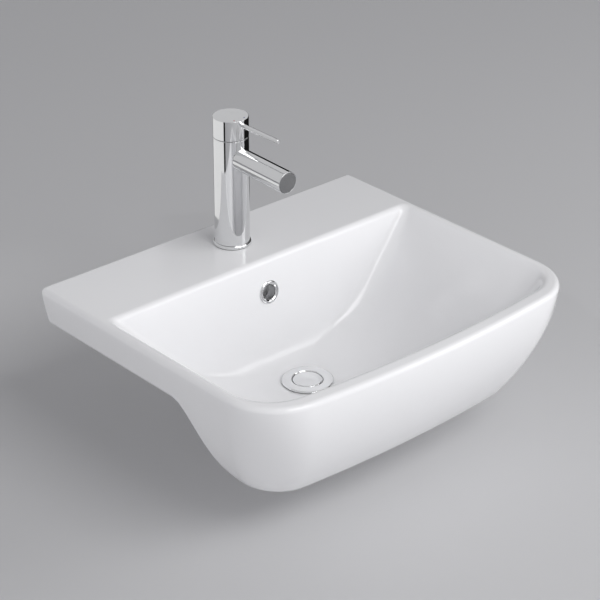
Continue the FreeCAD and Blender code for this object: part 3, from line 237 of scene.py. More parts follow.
class BASIN_PG_studio(bpy.types.PropertyGroup):
    """Camera and light."""
    lens: FloatProperty(name="Lens", description="Focal length on a 36 mm sensor",
                        default=126.778, unit="CAMERA")
    camera: FloatVectorProperty(name="Camera", description="Place of the camera",
                                default=(-1.558581, -1.942186, 1.261754), subtype="TRANSLATION")
    target: FloatVectorProperty(name="Target", description="Point in the middle of the picture",
                                default=(-0.040407, -0.238177, 0.054), subtype="TRANSLATION")
    roll: FloatProperty(name="Roll", description="Turn of the camera about its view",
                        default=math.radians(0.129), subtype="ANGLE")
    key: FloatProperty(name="Key", description="Power of the light high in front", default=26.0,
                       subtype="POWER")
    side: FloatProperty(name="Side", description="Power of the light at the front right",
                        default=14.0, subtype="POWER")
    sky: FloatProperty(name="Sky", description="Strength of the world light", default=0.97)
    floor: colour("Floor", (0.62, 0.62, 0.63), "Pale floor")
    samples_round: IntProperty(name="Segments", description="Segments of each turned piece",
                               default=96, min=24)


GROUPS = {"basin_clay": BASIN_PG_clay, "basin_bowl": BASIN_PG_bowl,
          "basin_waste": BASIN_PG_waste, "basin_tap": BASIN_PG_tap,
          "basin_finish": BASIN_PG_finish, "basin_studio": BASIN_PG_studio}


# Mesh work
def groups(*names):
    """Some of the scene's property groups."""
    return [getattr(bpy.context.scene, "basin_" + name) for name in names]


def new_piece(name, points, faces, slot=None, material=None):
    """A smooth shaded mesh object with its slot's finish, or with one of its own."""
    mesh = bpy.data.meshes.new(name)
    mesh.from_pydata([tuple(map(float, p)) for p in points], [], faces)
    mesh.validate()
    piece = bpy.data.objects.new(name, mesh)
    bpy.context.scene.collection.objects.link(piece)
    smooth(piece)
    if slot and not material:
        material = finish(slot)
    if material:
        mesh.materials.append(material)
    return piece


def smooth(piece, sharp=SHARP):
    """Even normals outward, smooth faces, and sharp edges only where two faces meet steeply."""
    mesh = piece.data
    work = bmesh.new()
    work.from_mesh(mesh)
    bmesh.ops.recalc_face_normals(work, faces=work.faces)
    work.to_mesh(mesh)
    work.free()
    mesh.polygons.foreach_set("use_smooth", [True] * len(mesh.polygons))
    mesh.set_sharp_from_angle(angle=sharp)
    mesh.update()


def grid_faces(rows, columns, close_rows=False):
    """Quads of a grid whose columns run round."""
    faces = []
    for row in range(rows if close_rows else rows - 1):
        after = (row + 1) % rows
        for column in range(columns):
            beside = (column + 1) % columns
            faces.append((row * columns + column, row * columns + beside,
                          after * columns + beside, after * columns + column))
    return faces


def softened(corners, closed=False, steps=5):
    """Round each corner (x, y, radius) of a line by its radius."""
    points = []
    count = len(corners)
    for index, corner in enumerate(corners):
        here = np.array(corner[:2], float)
        radius = corner[2] if len(corner) > 2 else 0.0
        if radius <= 0 or (not closed and index in (0, count - 1)):
            points.append(here)
            continue
        before = np.array(corners[index - 1][:2], float) - here
        after = np.array(corners[(index + 1) % count][:2], float) - here
        before_length, after_length = np.linalg.norm(before), np.linalg.norm(after)
        before, after = before / before_length, after / after_length
        half = math.acos(max(-1.0, min(1.0, float(before @ after)))) / 2
        if half > math.radians(89):
            points.append(here)
            continue
        reach = min(radius / math.tan(half), 0.49 * before_length, 0.49 * after_length)
        radius = reach * math.tan(half)
        middle = (before + after) / np.linalg.norm(before + after)
        centre = here + middle * (radius / math.sin(half))
        start, end = here + before * reach - centre, here + after * reach - centre
        turn = math.atan2(start[0] * end[1] - start[1] * end[0], float(start @ end))
        for step in range(steps + 1):
            angle = turn * step / steps
            cosine, sine = math.cos(angle), math.sin(angle)
            points.append(centre + np.array([start[0] * cosine - start[1] * sine,
                                             start[0] * sine + start[1] * cosine]))
    return points


def axis_frame(origin, axis):
    """Turns (across, aside, along) into the row frame, for an axis through origin."""
    along = Vector(axis).normalized()
    return Matrix.Translation(Vector(origin)) @ along.to_track_quat("Z", "Y").to_matrix().to_4x4()


def lathe(profile, origin, axis=(0, 0, 1), closed=False, segments=None, turn=0.0):
    """Points and faces of a profile of (radius, height) turned about an axis."""
    segments = segments or bpy.context.scene.basin_studio.samples_round
    place = axis_frame(origin, axis)
    points, faces, rings = [], [], []
    for radius, height in profile:
        if radius < 1e-7:
            rings.append([len(points)])
            points.append(place @ Vector((0, 0, height)))
            continue
        rings.append(list(range(len(points), len(points) + segments)))
        for step in range(segments):
            angle = turn + 2 * math.pi * step / segments
            points.append(place @ Vector((radius * math.cos(angle), radius * math.sin(angle),
                                          height)))
    pairs = list(zip(rings, rings[1:]))
    if closed:
        pairs.append((rings[-1], rings[0]))
    for low, high in pairs:
        for step in range(segments):
            after = (step + 1) % segments
            if len(low) == 1 and len(high) == 1:
                continue
            if len(low) == 1:
                faces.append((low[0], high[after], high[step]))
            elif len(high) == 1:
                faces.append((low[step], low[after], high[0]))
            else:
                faces.append((low[step], low[after], high[after], high[step]))
    return points, faces


def turned(name, corners, origin, axis=(0, 0, 1), closed=False, steps=5, **words):
    """A lathe piece with rounded edges; corners are (radius, height, rounding)."""
    points, faces = lathe(softened(corners, closed, steps), origin, axis, closed)
    piece = new_piece(name, points, faces, **words)
    weigh(piece)
    return piece


def weigh(piece):
    """Let wide faces keep flat shading beside their rounded edges."""
    modifier = piece.modifiers.new("flat_faces", "WEIGHTED_NORMAL")
    modifier.keep_sharp = True
    modifier.weight = 90


def stand_in(piece, part, body="basin"):
    """Let a piece take the place of a solid and ride on a body."""
    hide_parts(part)
    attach(piece, body)


def upright_solid(part):
    """Lower end, upper end, radius and axis of an upright round solid."""
    low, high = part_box(part)
    return low.z, high.z, (high.x - low.x) / 2, Vector(((low.x + high.x) / 2,
                                                        (low.y + high.y) / 2, 0))

def combine(piece, shapes, operation, sharp=math.radians(30)):
    """Cut shapes from a piece, or join them to it, and drop the temporary objects."""
    for shape in shapes:
        modifier = piece.modifiers.new("work", "BOOLEAN")
        modifier.operation = operation
        modifier.solver = "EXACT"
        modifier.object = shape
        evaluated = piece.evaluated_get(bpy.context.evaluated_depsgraph_get())
        mesh = bpy.data.meshes.new_from_object(evaluated)
        piece.modifiers.clear()
        old = piece.data
        piece.data = mesh
        mesh.name = piece.name
        bpy.data.meshes.remove(old)
        old = shape.data
        bpy.data.objects.remove(shape)
        bpy.data.meshes.remove(old)
    smooth(piece, sharp)
    return piece


def lathe_shape(profile, origin, axis=(0, 0, 1), segments=64):
    """A temporary turned object for a cut or a join."""
    return new_piece("work_shape", *lathe(profile, origin, axis, segments=segments))


def rod_shape(radius, low, high, origin, axis=(0, 0, 1), segments=64):
    """A plain round bar between two heights along an axis, as a cutter."""
    return lathe_shape([(0, low), (radius, low), (radius, high), (0, high)], origin, axis,
                       segments)


def prism_shape(outline, low, high, edge=0.0):
    """A (y, z) outline drawn out along x between two places, with rounded edges."""
    count = len(outline)
    points = [(x, y, z) for x in (low, high) for y, z in outline]
    faces = [tuple(range(count)), tuple(range(count, 2 * count))]
    faces += [(step, (step + 1) % count, count + (step + 1) % count, count + step)
              for step in range(count)]
    shape = new_piece("work_shape", points, faces)
    if edge:
        work = bmesh.new()
        work.from_mesh(shape.data)
        bmesh.ops.bevel(work, geom=work.edges[:], offset=edge, segments=4, profile=0.5,
                        affect="EDGES")
        work.to_mesh(shape.data)
        work.free()
    return shape


def slab_shape(low, high, edge=0.0):
    """A block between two corners, with rounded edges."""
    outline = [(low[1], low[2]), (high[1], low[2]), (high[1], high[2]), (low[1], high[2])]
    return prism_shape(outline, low[0], high[0], edge)


# Outlines of the clay, as the solids have them
BACK_STEPS, BACK_CORNER_STEPS, SIDE_STEPS, FRONT_CORNER_STEPS, BOW_STEPS = 22, 8, 30, 30, 24
SIDE_CURVE = (1.34, 1.47)
FRONT_CURVE = (1.8, 1.05)
SIDE_WALL = (40.0, 0.008, 0.160)
BACK_WALL = (7.5, 0.008, 0.032)
FRONT_WALL = (20.0, 0.009, 0.080)


def plan(half_width, back, front, back_radius, front_radius, bow):
    """Closed plan outline of the right half, then mirrored: back middle, side, front middle."""
    bow_centre = -front + bow
    corner_x = half_width - front_radius
    corner_y = bow_centre - math.sqrt((bow - front_radius) ** 2 - corner_x ** 2)
    lean = math.atan2(corner_x, bow_centre - corner_y)
    back_x = half_width - back_radius
    half = []
    for step in range(BACK_STEPS):
        half.append((back_x * step / BACK_STEPS, -back))
    for step in range(BACK_CORNER_STEPS):
        angle = math.pi / 2 * step / BACK_CORNER_STEPS
        half.append((back_x + back_radius * math.sin(angle),
                     -back - back_radius * (1 - math.cos(angle))))
    side_back = -back - back_radius
    for step in range(SIDE_STEPS):
        half.append((half_width, side_back + (corner_y - side_back) * step / SIDE_STEPS))
    sweep = math.pi / 2 - lean
    for step in range(FRONT_CORNER_STEPS):
        angle = sweep * step / FRONT_CORNER_STEPS
        half.append((corner_x + front_radius * math.cos(angle),
                     corner_y - front_radius * math.sin(angle)))
    for step in range(BOW_STEPS + 1):
        angle = lean * (1 - step / BOW_STEPS)
        half.append((bow * math.sin(angle), bow_centre - bow * math.cos(angle)))
    half = np.array(half)
    other = half[-2:0:-1] * (-1, 1)
    return np.vstack([half, other])


def drawn_in(share, flat, full):
    """Share of a taper reached at a share of the depth."""
    return 1 - (1 - share ** flat) ** (1 / full)


def skin_plan(depth):
    """Outside of the clay at a depth below the rim's top."""
    clay, bowl = groups("clay", "bowl")
    tall = bowl.depth + bowl.apron
    edge = clay.rim_edge
    share = min(max(depth - edge, 0) / (tall - edge), 1.0)
    inset = edge - math.sqrt(max(edge ** 2 - (edge - min(depth, edge)) ** 2, 0))
    half_width = clay.width / 2 - clay.side_taper * drawn_in(share, *SIDE_CURVE)
    front = clay.depth - clay.front_taper * drawn_in(share, *FRONT_CURVE)
    corner = clay.front_corner - clay.front_corner_loss * share ** 3
    back_corner = max(clay.back_corner - inset, 0.0005)
    return plan(half_width - inset, inset, front - inset, back_corner, corner - inset,
                clay.bow_radius)


def come_in(depth, full_depth, wall, angle, edge, sweep):
    """How far a bowl wall has come in at a depth: rounded edge, straight lean, round sweep."""
    lean = math.radians(angle)
    sweep = sweep + wall
    edge = edge if wall == 0 else 0.0
    edge_end = edge * (1 - math.sin(lean))
    sweep_start = full_depth - sweep * (1 - math.sin(lean))
    outset = wall / math.cos(lean)
    if depth < edge_end:
        rounded = math.sqrt(edge ** 2 - (edge - depth) ** 2)
        return rounded - edge * math.tan((math.pi / 2 - lean) / 2) - outset
    if depth <= sweep_start:
        return depth * math.tan(lean) - outset
    height = full_depth - depth
    reached = sweep * math.cos(lean) - math.sqrt(max(sweep ** 2 - (sweep - height) ** 2, 0))
    return sweep_start * math.tan(lean) + reached - outset


def bowl_plan(depth, wall=0.0):
    """Inside of the bowl at a depth, or the clay's far side when wall is its thickness."""
    clay, bowl = groups("clay", "bowl")
    full_depth = bowl.depth + wall
    share = depth / full_depth
    half_width = clay.width / 2 - bowl.side_rim - come_in(depth, full_depth, wall, *SIDE_WALL)
    back = bowl.back + come_in(depth, full_depth, wall, *BACK_WALL)
    front = clay.depth - bowl.front_rim - come_in(depth, full_depth, wall, *FRONT_WALL)
    back_corner = bowl.back_corner + bowl.back_corner_gain * share + wall
    front_corner = bowl.front_corner - bowl.front_corner_loss * share + wall
    front_corner = min(front_corner, 0.9 * half_width)
    return plan(half_width, back, front, back_corner, front_corner, clay.bow_radius)


def drop_curve():
    """The underside from the ledge down to the apron: y and z, from back to front."""
    clay, bowl = groups("clay", "bowl")
    start = -clay.notch_start
    knee = start - clay.notch_reach
    toe = knee - clay.notch_toe
    drop = -clay.notch_drop
    low = clay.rim_height - bowl.depth - bowl.apron
    upper = [(start, 0), (start + (knee - start) / 2, 0), (knee + (start - knee) / 4, drop / 2),
             (knee, drop)]
    lower = [(knee, drop), (knee - (knee - toe) / 8, drop + (low - drop) / 2),
             (knee - (knee - toe) / 2, low), (toe, low)]
    line = []
    for poles in (upper, lower):
        poles = np.array(poles)
        for share in np.linspace(0, 1, 25):
            rest = 1 - share
            line.append(rest ** 3 * poles[0] + 3 * rest ** 2 * share * poles[1]
                        + 3 * rest * share ** 2 * poles[2] + share ** 3 * poles[3])
    line = np.array(line)
    return line[np.argsort(line[:, 0], kind="stable")]


def level_at(y, line):
    """Height of the underside of the skin at a distance from the wall."""
    return np.interp(y, line[:, 0], line[:, 1])


# Clay body
def at_level(flat, z):
    """Plan points lifted to a height, or to one height each."""
    return np.column_stack([flat, np.broadcast_to(z, len(flat))])


def bowl_depths():
    """Depths from the floor up to the rim, close together in the sweep and in the edge."""
    full = bpy.context.scene.basin_bowl.depth
    sweep = [full - 0.052 * (1 - math.cos(math.radians(angle))) for angle in range(4, 80, 4)]
    edge = [0.010 * (1 - math.cos(math.radians(angle))) for angle in range(84, 0, -7)]
    straight = np.linspace(sweep[-1], edge[0], 18)[1:-1]
    return [full] + sweep + list(straight) + edge + [0.0]


def skin_table():
    """Plan outlines of the skin at many depths, close together where it turns in."""
    clay, bowl = groups("clay", "bowl")
    tall = bowl.depth + bowl.apron
    shares = np.sin(np.linspace(0, math.pi / 2, 260))
    levels = clay.rim_edge + (tall - clay.rim_edge) * shares
    return levels, np.array([skin_plan(level) for level in levels])


def skin_points(depths, levels, plans):
    """Skin points at one depth for each column."""
    place = np.interp(depths, levels, np.arange(len(levels)))
    low = np.clip(place.astype(int), 0, len(levels) - 2)
    part = (place - low)[:, None]
    columns = np.arange(plans.shape[1])
    flat = plans[low, columns] * (1 - part) + plans[low + 1, columns] * part
    return at_level(flat, bpy.context.scene.basin_clay.rim_height - depths)


def column_ends(levels, plans, line):
    """Depth at which each column of the skin meets the underside."""
    rim = bpy.context.scene.basin_clay.rim_height
    over = (rim - levels)[:, None] - level_at(plans[:, :, 1], line)
    ends = np.empty(plans.shape[1])
    for column in range(plans.shape[1]):
        below = np.nonzero(over[:, column] <= 1e-9)[0]
        last = below[0] if len(below) else len(levels) - 1
        first = max(last - 1, 0)
        gap = over[first, column] - over[last, column]
        share = over[first, column] / gap if gap > 1e-12 else 1.0
        ends[column] = levels[first] + (levels[last] - levels[first]) * min(max(share, 0), 1)
    return ends


def bowl_underside(flat, waste):
    """Height of the bowl's outer clay under each plan point, high above where there is none."""
    clay, bowl = groups("clay", "bowl")
    full = bowl.depth + clay.wall
    start = clay.deck
    depths = start + (full - start) * np.sin(np.linspace(0, math.pi / 2, 60))
    away = flat - waste
    angle = np.arctan2(away[:, 0], -away[:, 1])
    reach = np.hypot(away[:, 0], away[:, 1])
    radii = []
    for depth in depths:
        ring = bowl_plan(depth, clay.wall) - waste
        ring_angle = np.arctan2(ring[:, 0], -ring[:, 1])
        order = np.argsort(ring_angle)
        radii.append(np.interp(angle, ring_angle[order], np.hypot(*ring.T)[order],
                               period=2 * math.pi))
    radii = np.array(radii)
    heights = np.empty(len(flat))
    for index in range(len(flat)):
        line = radii[::-1, index]
        heights[index] = np.interp(reach[index], line, clay.rim_height - depths[::-1])
        if reach[index] > line[-1]:
            heights[index] += (reach[index] - line[-1]) * 8
    return heights


def soft_lower(first, second, blend):
    """The lower of two heights, with a rounded change between them."""
    share = np.clip(0.5 + 0.5 * (second - first) / blend, 0, 1)
    return second * (1 - share) + first * share - blend * share * (1 - share)


def clay_mesh():
    """Rings of points from the waste hole up the bowl, over the rim, down the skin and back."""
    clay, bowl = groups("clay", "bowl")
    rim = clay.rim_height
    waste = np.array([0.0, -bowl.waste_back])
    floor_z = rim - bowl.depth
    boss_z = floor_z - bowl.boss_height
    floor = bowl_plan(bowl.depth)
    spokes = (floor - waste) / np.linalg.norm(floor - waste, axis=1)[:, None]

    def ring(radius, z):
        return at_level(waste + spokes * radius, z)

    rows = []
    hole = bowl.waste_hole
    inner = ring(hole + 0.0006, floor_z)
    for share in np.linspace(0, 1, 16)[:-1]:
        rows.append(at_level(inner[:, :2] * (1 - share) + floor * share, floor_z))
    rows += [at_level(bowl_plan(depth), rim - depth) for depth in bowl_depths()]
    mouth, top = bowl_plan(0.0), skin_plan(0.0)
    for share in (0.012, 0.1, 0.3, 0.5, 0.7, 0.9, 0.988, 1.0):
        rows.append(at_level(mouth * (1 - share) + top * share, rim))
    for angle in range(10, 91, 10):
        depth = clay.rim_edge * (1 - math.cos(math.radians(angle)))
        rows.append(at_level(skin_plan(depth), rim - depth))

    levels, plans = skin_table()
    line = drop_curve()
    ends = column_ends(levels, plans, line)
    for share in np.linspace(0, 1, 46)[1:]:
        fall = (ends - clay.low_edge - clay.rim_edge) * math.sin(share * math.pi / 2)
        rows.append(skin_points(clay.rim_edge + fall, levels, plans))
    before = rows[-1]
    corner = skin_points(ends, levels, plans)
    inward = waste - corner[:, :2]
    inward /= np.linalg.norm(inward, axis=1)[:, None]
    after_flat = corner[:, :2] + inward * clay.low_edge
    after = at_level(after_flat, level_at(after_flat[:, 1], line))
    for share in np.linspace(0, 1, 10)[1:]:
        rest = 1 - share
        rows.append(rest ** 2 * before + 2 * rest * share * corner + share ** 2 * after)
    boss = waste + spokes * (bowl.boss + 0.002)
    for share in np.linspace(0, 1, 80)[1:]:
        flat = after_flat * (1 - share) + boss * share
        height = soft_lower(level_at(flat[:, 1], line), bowl_underside(flat, waste), 0.010)
        rows.append(at_level(flat, height))
    for radius, drop in ((bowl.boss + 0.0004, 0.0035), (bowl.boss - 0.0004, 0.0014),
                         (bowl.boss - 0.0016, 0.0002), (bowl.boss - 0.003, 0.0),
                         (hole + 0.0014, 0.0), (hole + 0.0003, 0.0003)):
        rows.append(ring(radius, boss_z + drop))
    for share in np.linspace(0, 1, 5):
        rows.append(ring(hole, boss_z + 0.001 + (floor_z - boss_z - 0.0016) * share))
    return np.vstack(rows), grid_faces(len(rows), len(floor), True)

HATCH_FRONT, DUCT_TOP, CASE_EDGE = 0.1165, 0.024, 0.0015


def overflow_y():
    """Where the overflow's axis meets the bowl's back wall."""
    bowl = bpy.context.scene.basin_bowl
    return -(bowl.back + bowl.overflow_drop * math.tan(math.radians(BACK_WALL[0])))
class BASIN_OT_clay(bpy.types.Operator):
    """Build the glazed clay body with its holes, duct and hatch"""
    bl_idname = "basin.clay"
    bl_label = "Clay body"

    def execute(self, context):
        clay, bowl, waste = groups("clay", "bowl", "waste")
        points, faces = clay_mesh()
        body = new_piece("clay_body", points, faces, "glaze")
        rim, half, skin = clay.rim_height, bowl.duct_half, bowl.duct_wall
        lean = math.radians(BACK_WALL[0])
        slope, wall_y = math.tan(lean), overflow_y()
        duct_back = wall_y + skin + bowl.duct_depth
        low = rim - bowl.depth - bowl.boss_height + 0.5 * MM
        slot_high = TAIL_HIGH[2] - waste.slot_top
        slot_low = slot_high - waste.slot_height
        deck_under = rim - clay.deck
        ledge = clay.width / 2 - clay.ledge
        combine(body, [slab_shape((-ledge, -HATCH_FRONT, -0.03),
                                  (ledge, -clay.back_ledge, deck_under), 0.005)], "DIFFERENCE")
        case_back, case_high = duct_back + skin, deck_under + 6 * MM
        case = [(-bowl.back - (rim - case_high) * slope + 2 * MM, case_high),
                (case_back, case_high), (case_back, low),
                (-bowl.back - (rim - low) * slope + 2 * MM, low)]
        wide = half + skin
        combine(body, [
            prism_shape(case, -wide, wide, CASE_EDGE),
            slab_shape((-wide, -bowl.waste_back, low),
                       (wide, case_back - MM, rim - bowl.depth - MM), CASE_EDGE)], "UNION")
        combine(body, [
            slab_shape((-half, duct_back - bowl.duct_depth, slot_low),
                       (half, duct_back, DUCT_TOP)),
            slab_shape((-half, -bowl.waste_back, slot_low), (half, duct_back - MM, slot_high)),
            rod_shape(bowl.tap_hole, 0.030, rim + 0.01, (0, -bowl.tap_back, 0)),
            rod_shape(bowl.overflow_hole, -0.004, skin + 0.004,
                      (0, wall_y, rim - bowl.overflow_drop),
                      (0, math.cos(lean), -math.sin(lean)))], "DIFFERENCE")
        weigh(body)
        stand_in(body, "basin_body")
        return {"FINISHED"}


# Finishes
def effect(name, build, inputs, outputs):
    """A shader node group made once; build(tree, its inputs' sockets, exit) links it up."""
    tree = bpy.data.node_groups.get(name)
    if tree:
        return tree
    tree = bpy.data.node_groups.new(name, "ShaderNodeTree")
    for label, default in inputs:
        socket = tree.interface.new_socket(label, in_out="INPUT", socket_type="NodeSocketFloat")
        socket.default_value = default
    for label in outputs:
        tree.interface.new_socket(label, in_out="OUTPUT", socket_type="NodeSocketFloat")
    build(tree, tree.nodes.new("NodeGroupInput").outputs, tree.nodes.new("NodeGroupOutput"))
    return tree


def node(tree, kind, links=(), **values):
    """One shader node; links are (input, source socket or number), values its properties."""
    made = tree.nodes.new("ShaderNode" + kind)
    for key, value in values.items():
        setattr(made, key, value)
    for key, source in links:
        if isinstance(source, (int, float, tuple, list)):
            made.inputs[key].default_value = source
        else:
            tree.links.new(source, made.inputs[key])
    return made


def maths(tree, operation, value, *others):
    """A value worked out with one or more others, in turn."""
    for other in others:
        value = node(tree, "Math", [(0, value), (1, other)], operation=operation).outputs[0]
    return value


def place_socket(tree):
    """Place on the object, in metres."""
    return node(tree, "TexCoord").outputs["Object"]


def pattern(tree, kind, **inputs):
    """Outputs of a texture that is fixed to the object."""
    return node(tree, kind, [("Vector", place_socket(tree)), *inputs.items()]).outputs


def spread(tree, value, low, high, to_low=0.0, to_high=1.0):
    """A value stretched from one range to another and held inside it."""
    return node(tree, "MapRange", [("Value", value), ("From Min", low), ("From Max", high),
                                   ("To Min", to_low), ("To Max", to_high)]).outputs["Result"]


def build_water_film(tree, given, exit_node):
    """Faint dried droplets and wipe marks."""
    wide = pattern(tree, "TexNoise", Scale=given["Scale"], Detail=4.0, Roughness=0.6)["Fac"]
    drops = pattern(tree, "TexVoronoi", Scale=maths(tree, "MULTIPLY", given["Scale"], 9.0))
    spots = spread(tree, drops["Distance"], 0.0, 0.16, 1.0, 0.0)
    patches = spread(tree, wide, 0.52, 0.75)
    marks = maths(tree, "MULTIPLY", spots, patches, given["Amount"])
    haze = maths(tree, "MULTIPLY", patches, given["Haze"])
    tree.links.new(maths(tree, "ADD", marks, haze), exit_node.inputs["Mask"])


def build_fine_waves(tree, given, exit_node):
    """Slow waves of a fired or polished surface."""
    slow = pattern(tree, "TexNoise", Scale=given["Scale"], Detail=1.0, Roughness=0.4)["Fac"]
    quick = pattern(tree, "TexNoise", Scale=maths(tree, "MULTIPLY", given["Scale"], 7.0),
                    Detail=2.0)["Fac"]
    part = maths(tree, "MULTIPLY", quick, given["Grain"])
    tree.links.new(maths(tree, "ADD", slow, part), exit_node.inputs["Height"])


def build_wear_and_hollow_shade(tree, given, exit_node):
    """Rubbed outer edges, and painted shade darkening the inner ones."""
    bend = node(tree, "NewGeometry").outputs["Pointiness"]
    broken = pattern(tree, "TexNoise", Scale=given["Scale"], Detail=3.0)["Fac"]
    outer = spread(tree, bend, 0.52, 0.60)
    tree.links.new(maths(tree, "MULTIPLY", outer, broken, given["Wear"]),
                   exit_node.inputs["Rubbed"])
    # painted shade: darker where the surface bends inward
    inner = spread(tree, bend, 0.40, 0.48, 1.0, 0.0)
    tree.links.new(maths(tree, "MULTIPLY", inner, given["Grime"]), exit_node.inputs["Grime"])


EFFECTS = {
    "water_film": (build_water_film, [("Scale", 30.0), ("Amount", 0.5), ("Haze", 0.2)], ["Mask"]),
    "fine_waves": (build_fine_waves, [("Scale", 20.0), ("Grain", 0.1)], ["Height"]),
    "edge_wear": (build_wear_and_hollow_shade, [("Scale", 90.0), ("Wear", 0.5), ("Grime", 0.5)],
                  ["Rubbed", "Grime"]),
}


def place_effect(tree, name, *values):
    """Outputs of a shared effect in a material, with its own values in the effect's order."""
    made = tree.nodes.new("ShaderNodeGroup")
    made.node_tree = effect(name, *EFFECTS[name])
    for socket, value in zip(made.inputs, values):
        socket.default_value = value
    return made.outputs


def new_finish(name, roughness=0.4, metallic=0.0, **sockets):
    """An empty material and its surface shader, with the values that don't vary."""
    material = bpy.data.materials.new(name)
    material.use_nodes = True
    shader = material.node_tree.nodes["Principled BSDF"]
    for key, value in dict(sockets, Roughness=roughness, Metallic=metallic).items():
        shader.inputs[key.replace("_", " ")].default_value = value
    return material, material.node_tree, shader


def mixed(tree, factor, first, second):
    """Blend of two colours, or of a colour socket and a colour."""
    return node(tree, "Mix", [(0, factor), (6, first), (7, second)], data_type="RGBA").outputs[2]


def tint(name, scale=1.0, lift=0.0):
    """One of the panel's colours as a shader colour."""
    value = getattr(bpy.context.scene.basin_finish, name)
    return tuple(min(1.0, part * scale + lift) for part in value) + (1.0,)


def bumped(tree, shader, height, strength, distance):
    """Send a height to the shader's normal."""
    bump = node(tree, "Bump", [("Height", height), ("Strength", strength),
                               ("Distance", distance)])
    tree.links.new(bump.outputs["Normal"], shader.inputs["Normal"])


def glaze(name):
    """Fired white glaze with painted shade in its inner creases, bare clay where the body stands
    in the kiln, and the duct painted near black as shade.
    """
    material, tree, shader = new_finish(name, 0.08, IOR=1.52, Coat_Weight=0.5,
                                        Coat_Roughness=0.03)
    clay, bowl = groups("clay", "bowl")
    waves = place_effect(tree, "fine_waves", 9.0, 0.04)["Height"]
    film = place_effect(tree, "water_film", 26.0, 0.25, 0.35)["Mask"]
    # painted shade: the glaze darkens in its inner creases
    grime = place_effect(tree, "edge_wear", 40.0, 0.2, 0.25)["Grime"]
    tone = pattern(tree, "TexNoise", Scale=5.0, Detail=2.0)["Fac"]
    white = mixed(tree, spread(tree, tone, 0.3, 0.7), tint("glaze", 0.985), tint("glaze"))
    white = mixed(tree, grime, white, tint("glaze", 0.90))
    place = node(tree, "SeparateXYZ", [("Vector", place_socket(tree))]).outputs
    facing = node(tree, "SeparateXYZ", [
        ("Vector", node(tree, "NewGeometry").outputs["True Normal"])]).outputs["Z"]
    down = spread(tree, facing, -0.9, -0.98)
    apron_z = clay.rim_height - bowl.depth - bowl.apron
    flat = maths(tree, "MULTIPLY", down,
                 spread(tree, place["Z"], apron_z + 1.5 * MM, apron_z + 0.5 * MM))
    below = spread(tree, place["Z"], -0.5 * MM, -1.5 * MM)
    ledge = maths(tree, "MULTIPLY", down, spread(tree, place["Z"], 4 * MM, 2 * MM),
                  spread(tree, below, 0.9, 0.1))
    wiped = maths(tree, "MAXIMUM", flat, ledge)
    wall_y = overflow_y()
    duct_end = wall_y + bowl.duct_depth
    aside = node(tree, "Math", [(0, place["X"])], operation="ABSOLUTE").outputs[0]
    # painted shade: mask of the duct's inside, which is coloured near black
    painted_duct_shade = spread(tree, aside, bowl.duct_half + 0.5 * MM, bowl.duct_half)
    for axis, start, end in (("Y", wall_y + 4 * MM, wall_y + 7 * MM),
                             ("Z", DUCT_TOP + 3 * MM, DUCT_TOP + 1 * MM),
                             ("Y", duct_end + 14 * MM, duct_end + 12 * MM)):
        painted_duct_shade = maths(tree, "MULTIPLY", painted_duct_shade, spread(tree, place[axis], start, end))
    speck = pattern(tree, "TexNoise", Scale=700.0, Detail=3.0)["Fac"]
    bare = mixed(tree, spread(tree, speck, 0.35, 0.65), tint("clay", 0.9), tint("clay"))
    # painted shade: the duct near black
    white = mixed(tree, painted_duct_shade, white, tint("clay", 0.04))
    tree.links.new(mixed(tree, wiped, white, bare), shader.inputs["Base Color"])
    tree.links.new(maths(tree, "ADD", spread(tree, film, 0.0, 1.0, 0.04, 0.10),
                         spread(tree, wiped, 0.0, 1.0, 0.0, 0.6)), shader.inputs["Roughness"])
    bumped(tree, shader, waves, 0.12, 0.002)
    return material


def filmed(name, shade, metallic, clean, marked, smooth_dull, film, waves=None):
    """A smooth finish with dried water on it, and slow waves where they are given."""
    material, tree, shader = new_finish(name, smooth_dull[0], metallic)
    mask = place_effect(tree, "water_film", *film)["Mask"]
    tree.links.new(mixed(tree, mask, tint(shade, clean), tint(shade, marked)),
                   shader.inputs["Base Color"])
    tree.links.new(spread(tree, mask, 0.0, 1.0, *smooth_dull), shader.inputs["Roughness"])
    if waves:
        bumped(tree, shader, place_effect(tree, "fine_waves", *waves)["Height"], 0.05, 0.0006)
    return material


def worn(tree, shader, base, grime, rubbed, wear):
    """Send a base colour to the shader, with painted shade in its corners and rubbed edges."""
    edges = place_effect(tree, "edge_wear", *wear)
    base = mixed(tree, edges["Rubbed"], mixed(tree, edges["Grime"], base, grime), rubbed)
    tree.links.new(base, shader.inputs["Base Color"])


def turned_brass(name):
    """Turned brass with tool rings, and painted shade darkening its corners."""
    material, tree, shader = new_finish(name, 0.32, 1.0)
    film = place_effect(tree, "water_film", 80.0, 0.5, 0.7)["Mask"]
    rings = node(tree, "TexWave", [("Vector", place_socket(tree)), ("Scale", 900.0),
                                   ("Distortion", 0.4)], bands_direction="Z")
    # base colour with painted shade in the hollows and lighter rubbed edges
    worn(tree, shader, mixed(tree, film, tint("brass"), tint("brass", 0.72)),
         tint("brass", 0.4), tint("brass", 1.25), (120.0, 0.6, 0.7))
    tree.links.new(spread(tree, film, 0.0, 1.0, 0.26, 0.48), shader.inputs["Roughness"])
    bumped(tree, shader, rings.outputs["Fac"], 0.15, 0.00005)
    return material


def zinc_plate(name):
    """Zinc plate: soft grey with fine spangle."""
    material, tree, shader = new_finish(name, 0.38, 1.0)
    grain = pattern(tree, "TexVoronoi", Scale=420.0)
    tone = node(tree, "SeparateXYZ", [("Vector", grain["Color"])]).outputs["X"]
    # base colour with painted shade in the hollows and lighter rubbed edges
    worn(tree, shader, mixed(tree, tone, tint("steel", 0.88), tint("steel", 1.1)),
         tint("steel", 0.45), tint("steel", 1.4), (150.0, 0.7, 0.5))
    tree.links.new(spread(tree, tone, 0.0, 1.0, 0.3, 0.46), shader.inputs["Roughness"])
    bumped(tree, shader, grain["Distance"], 0.08, 0.00008)
    return material


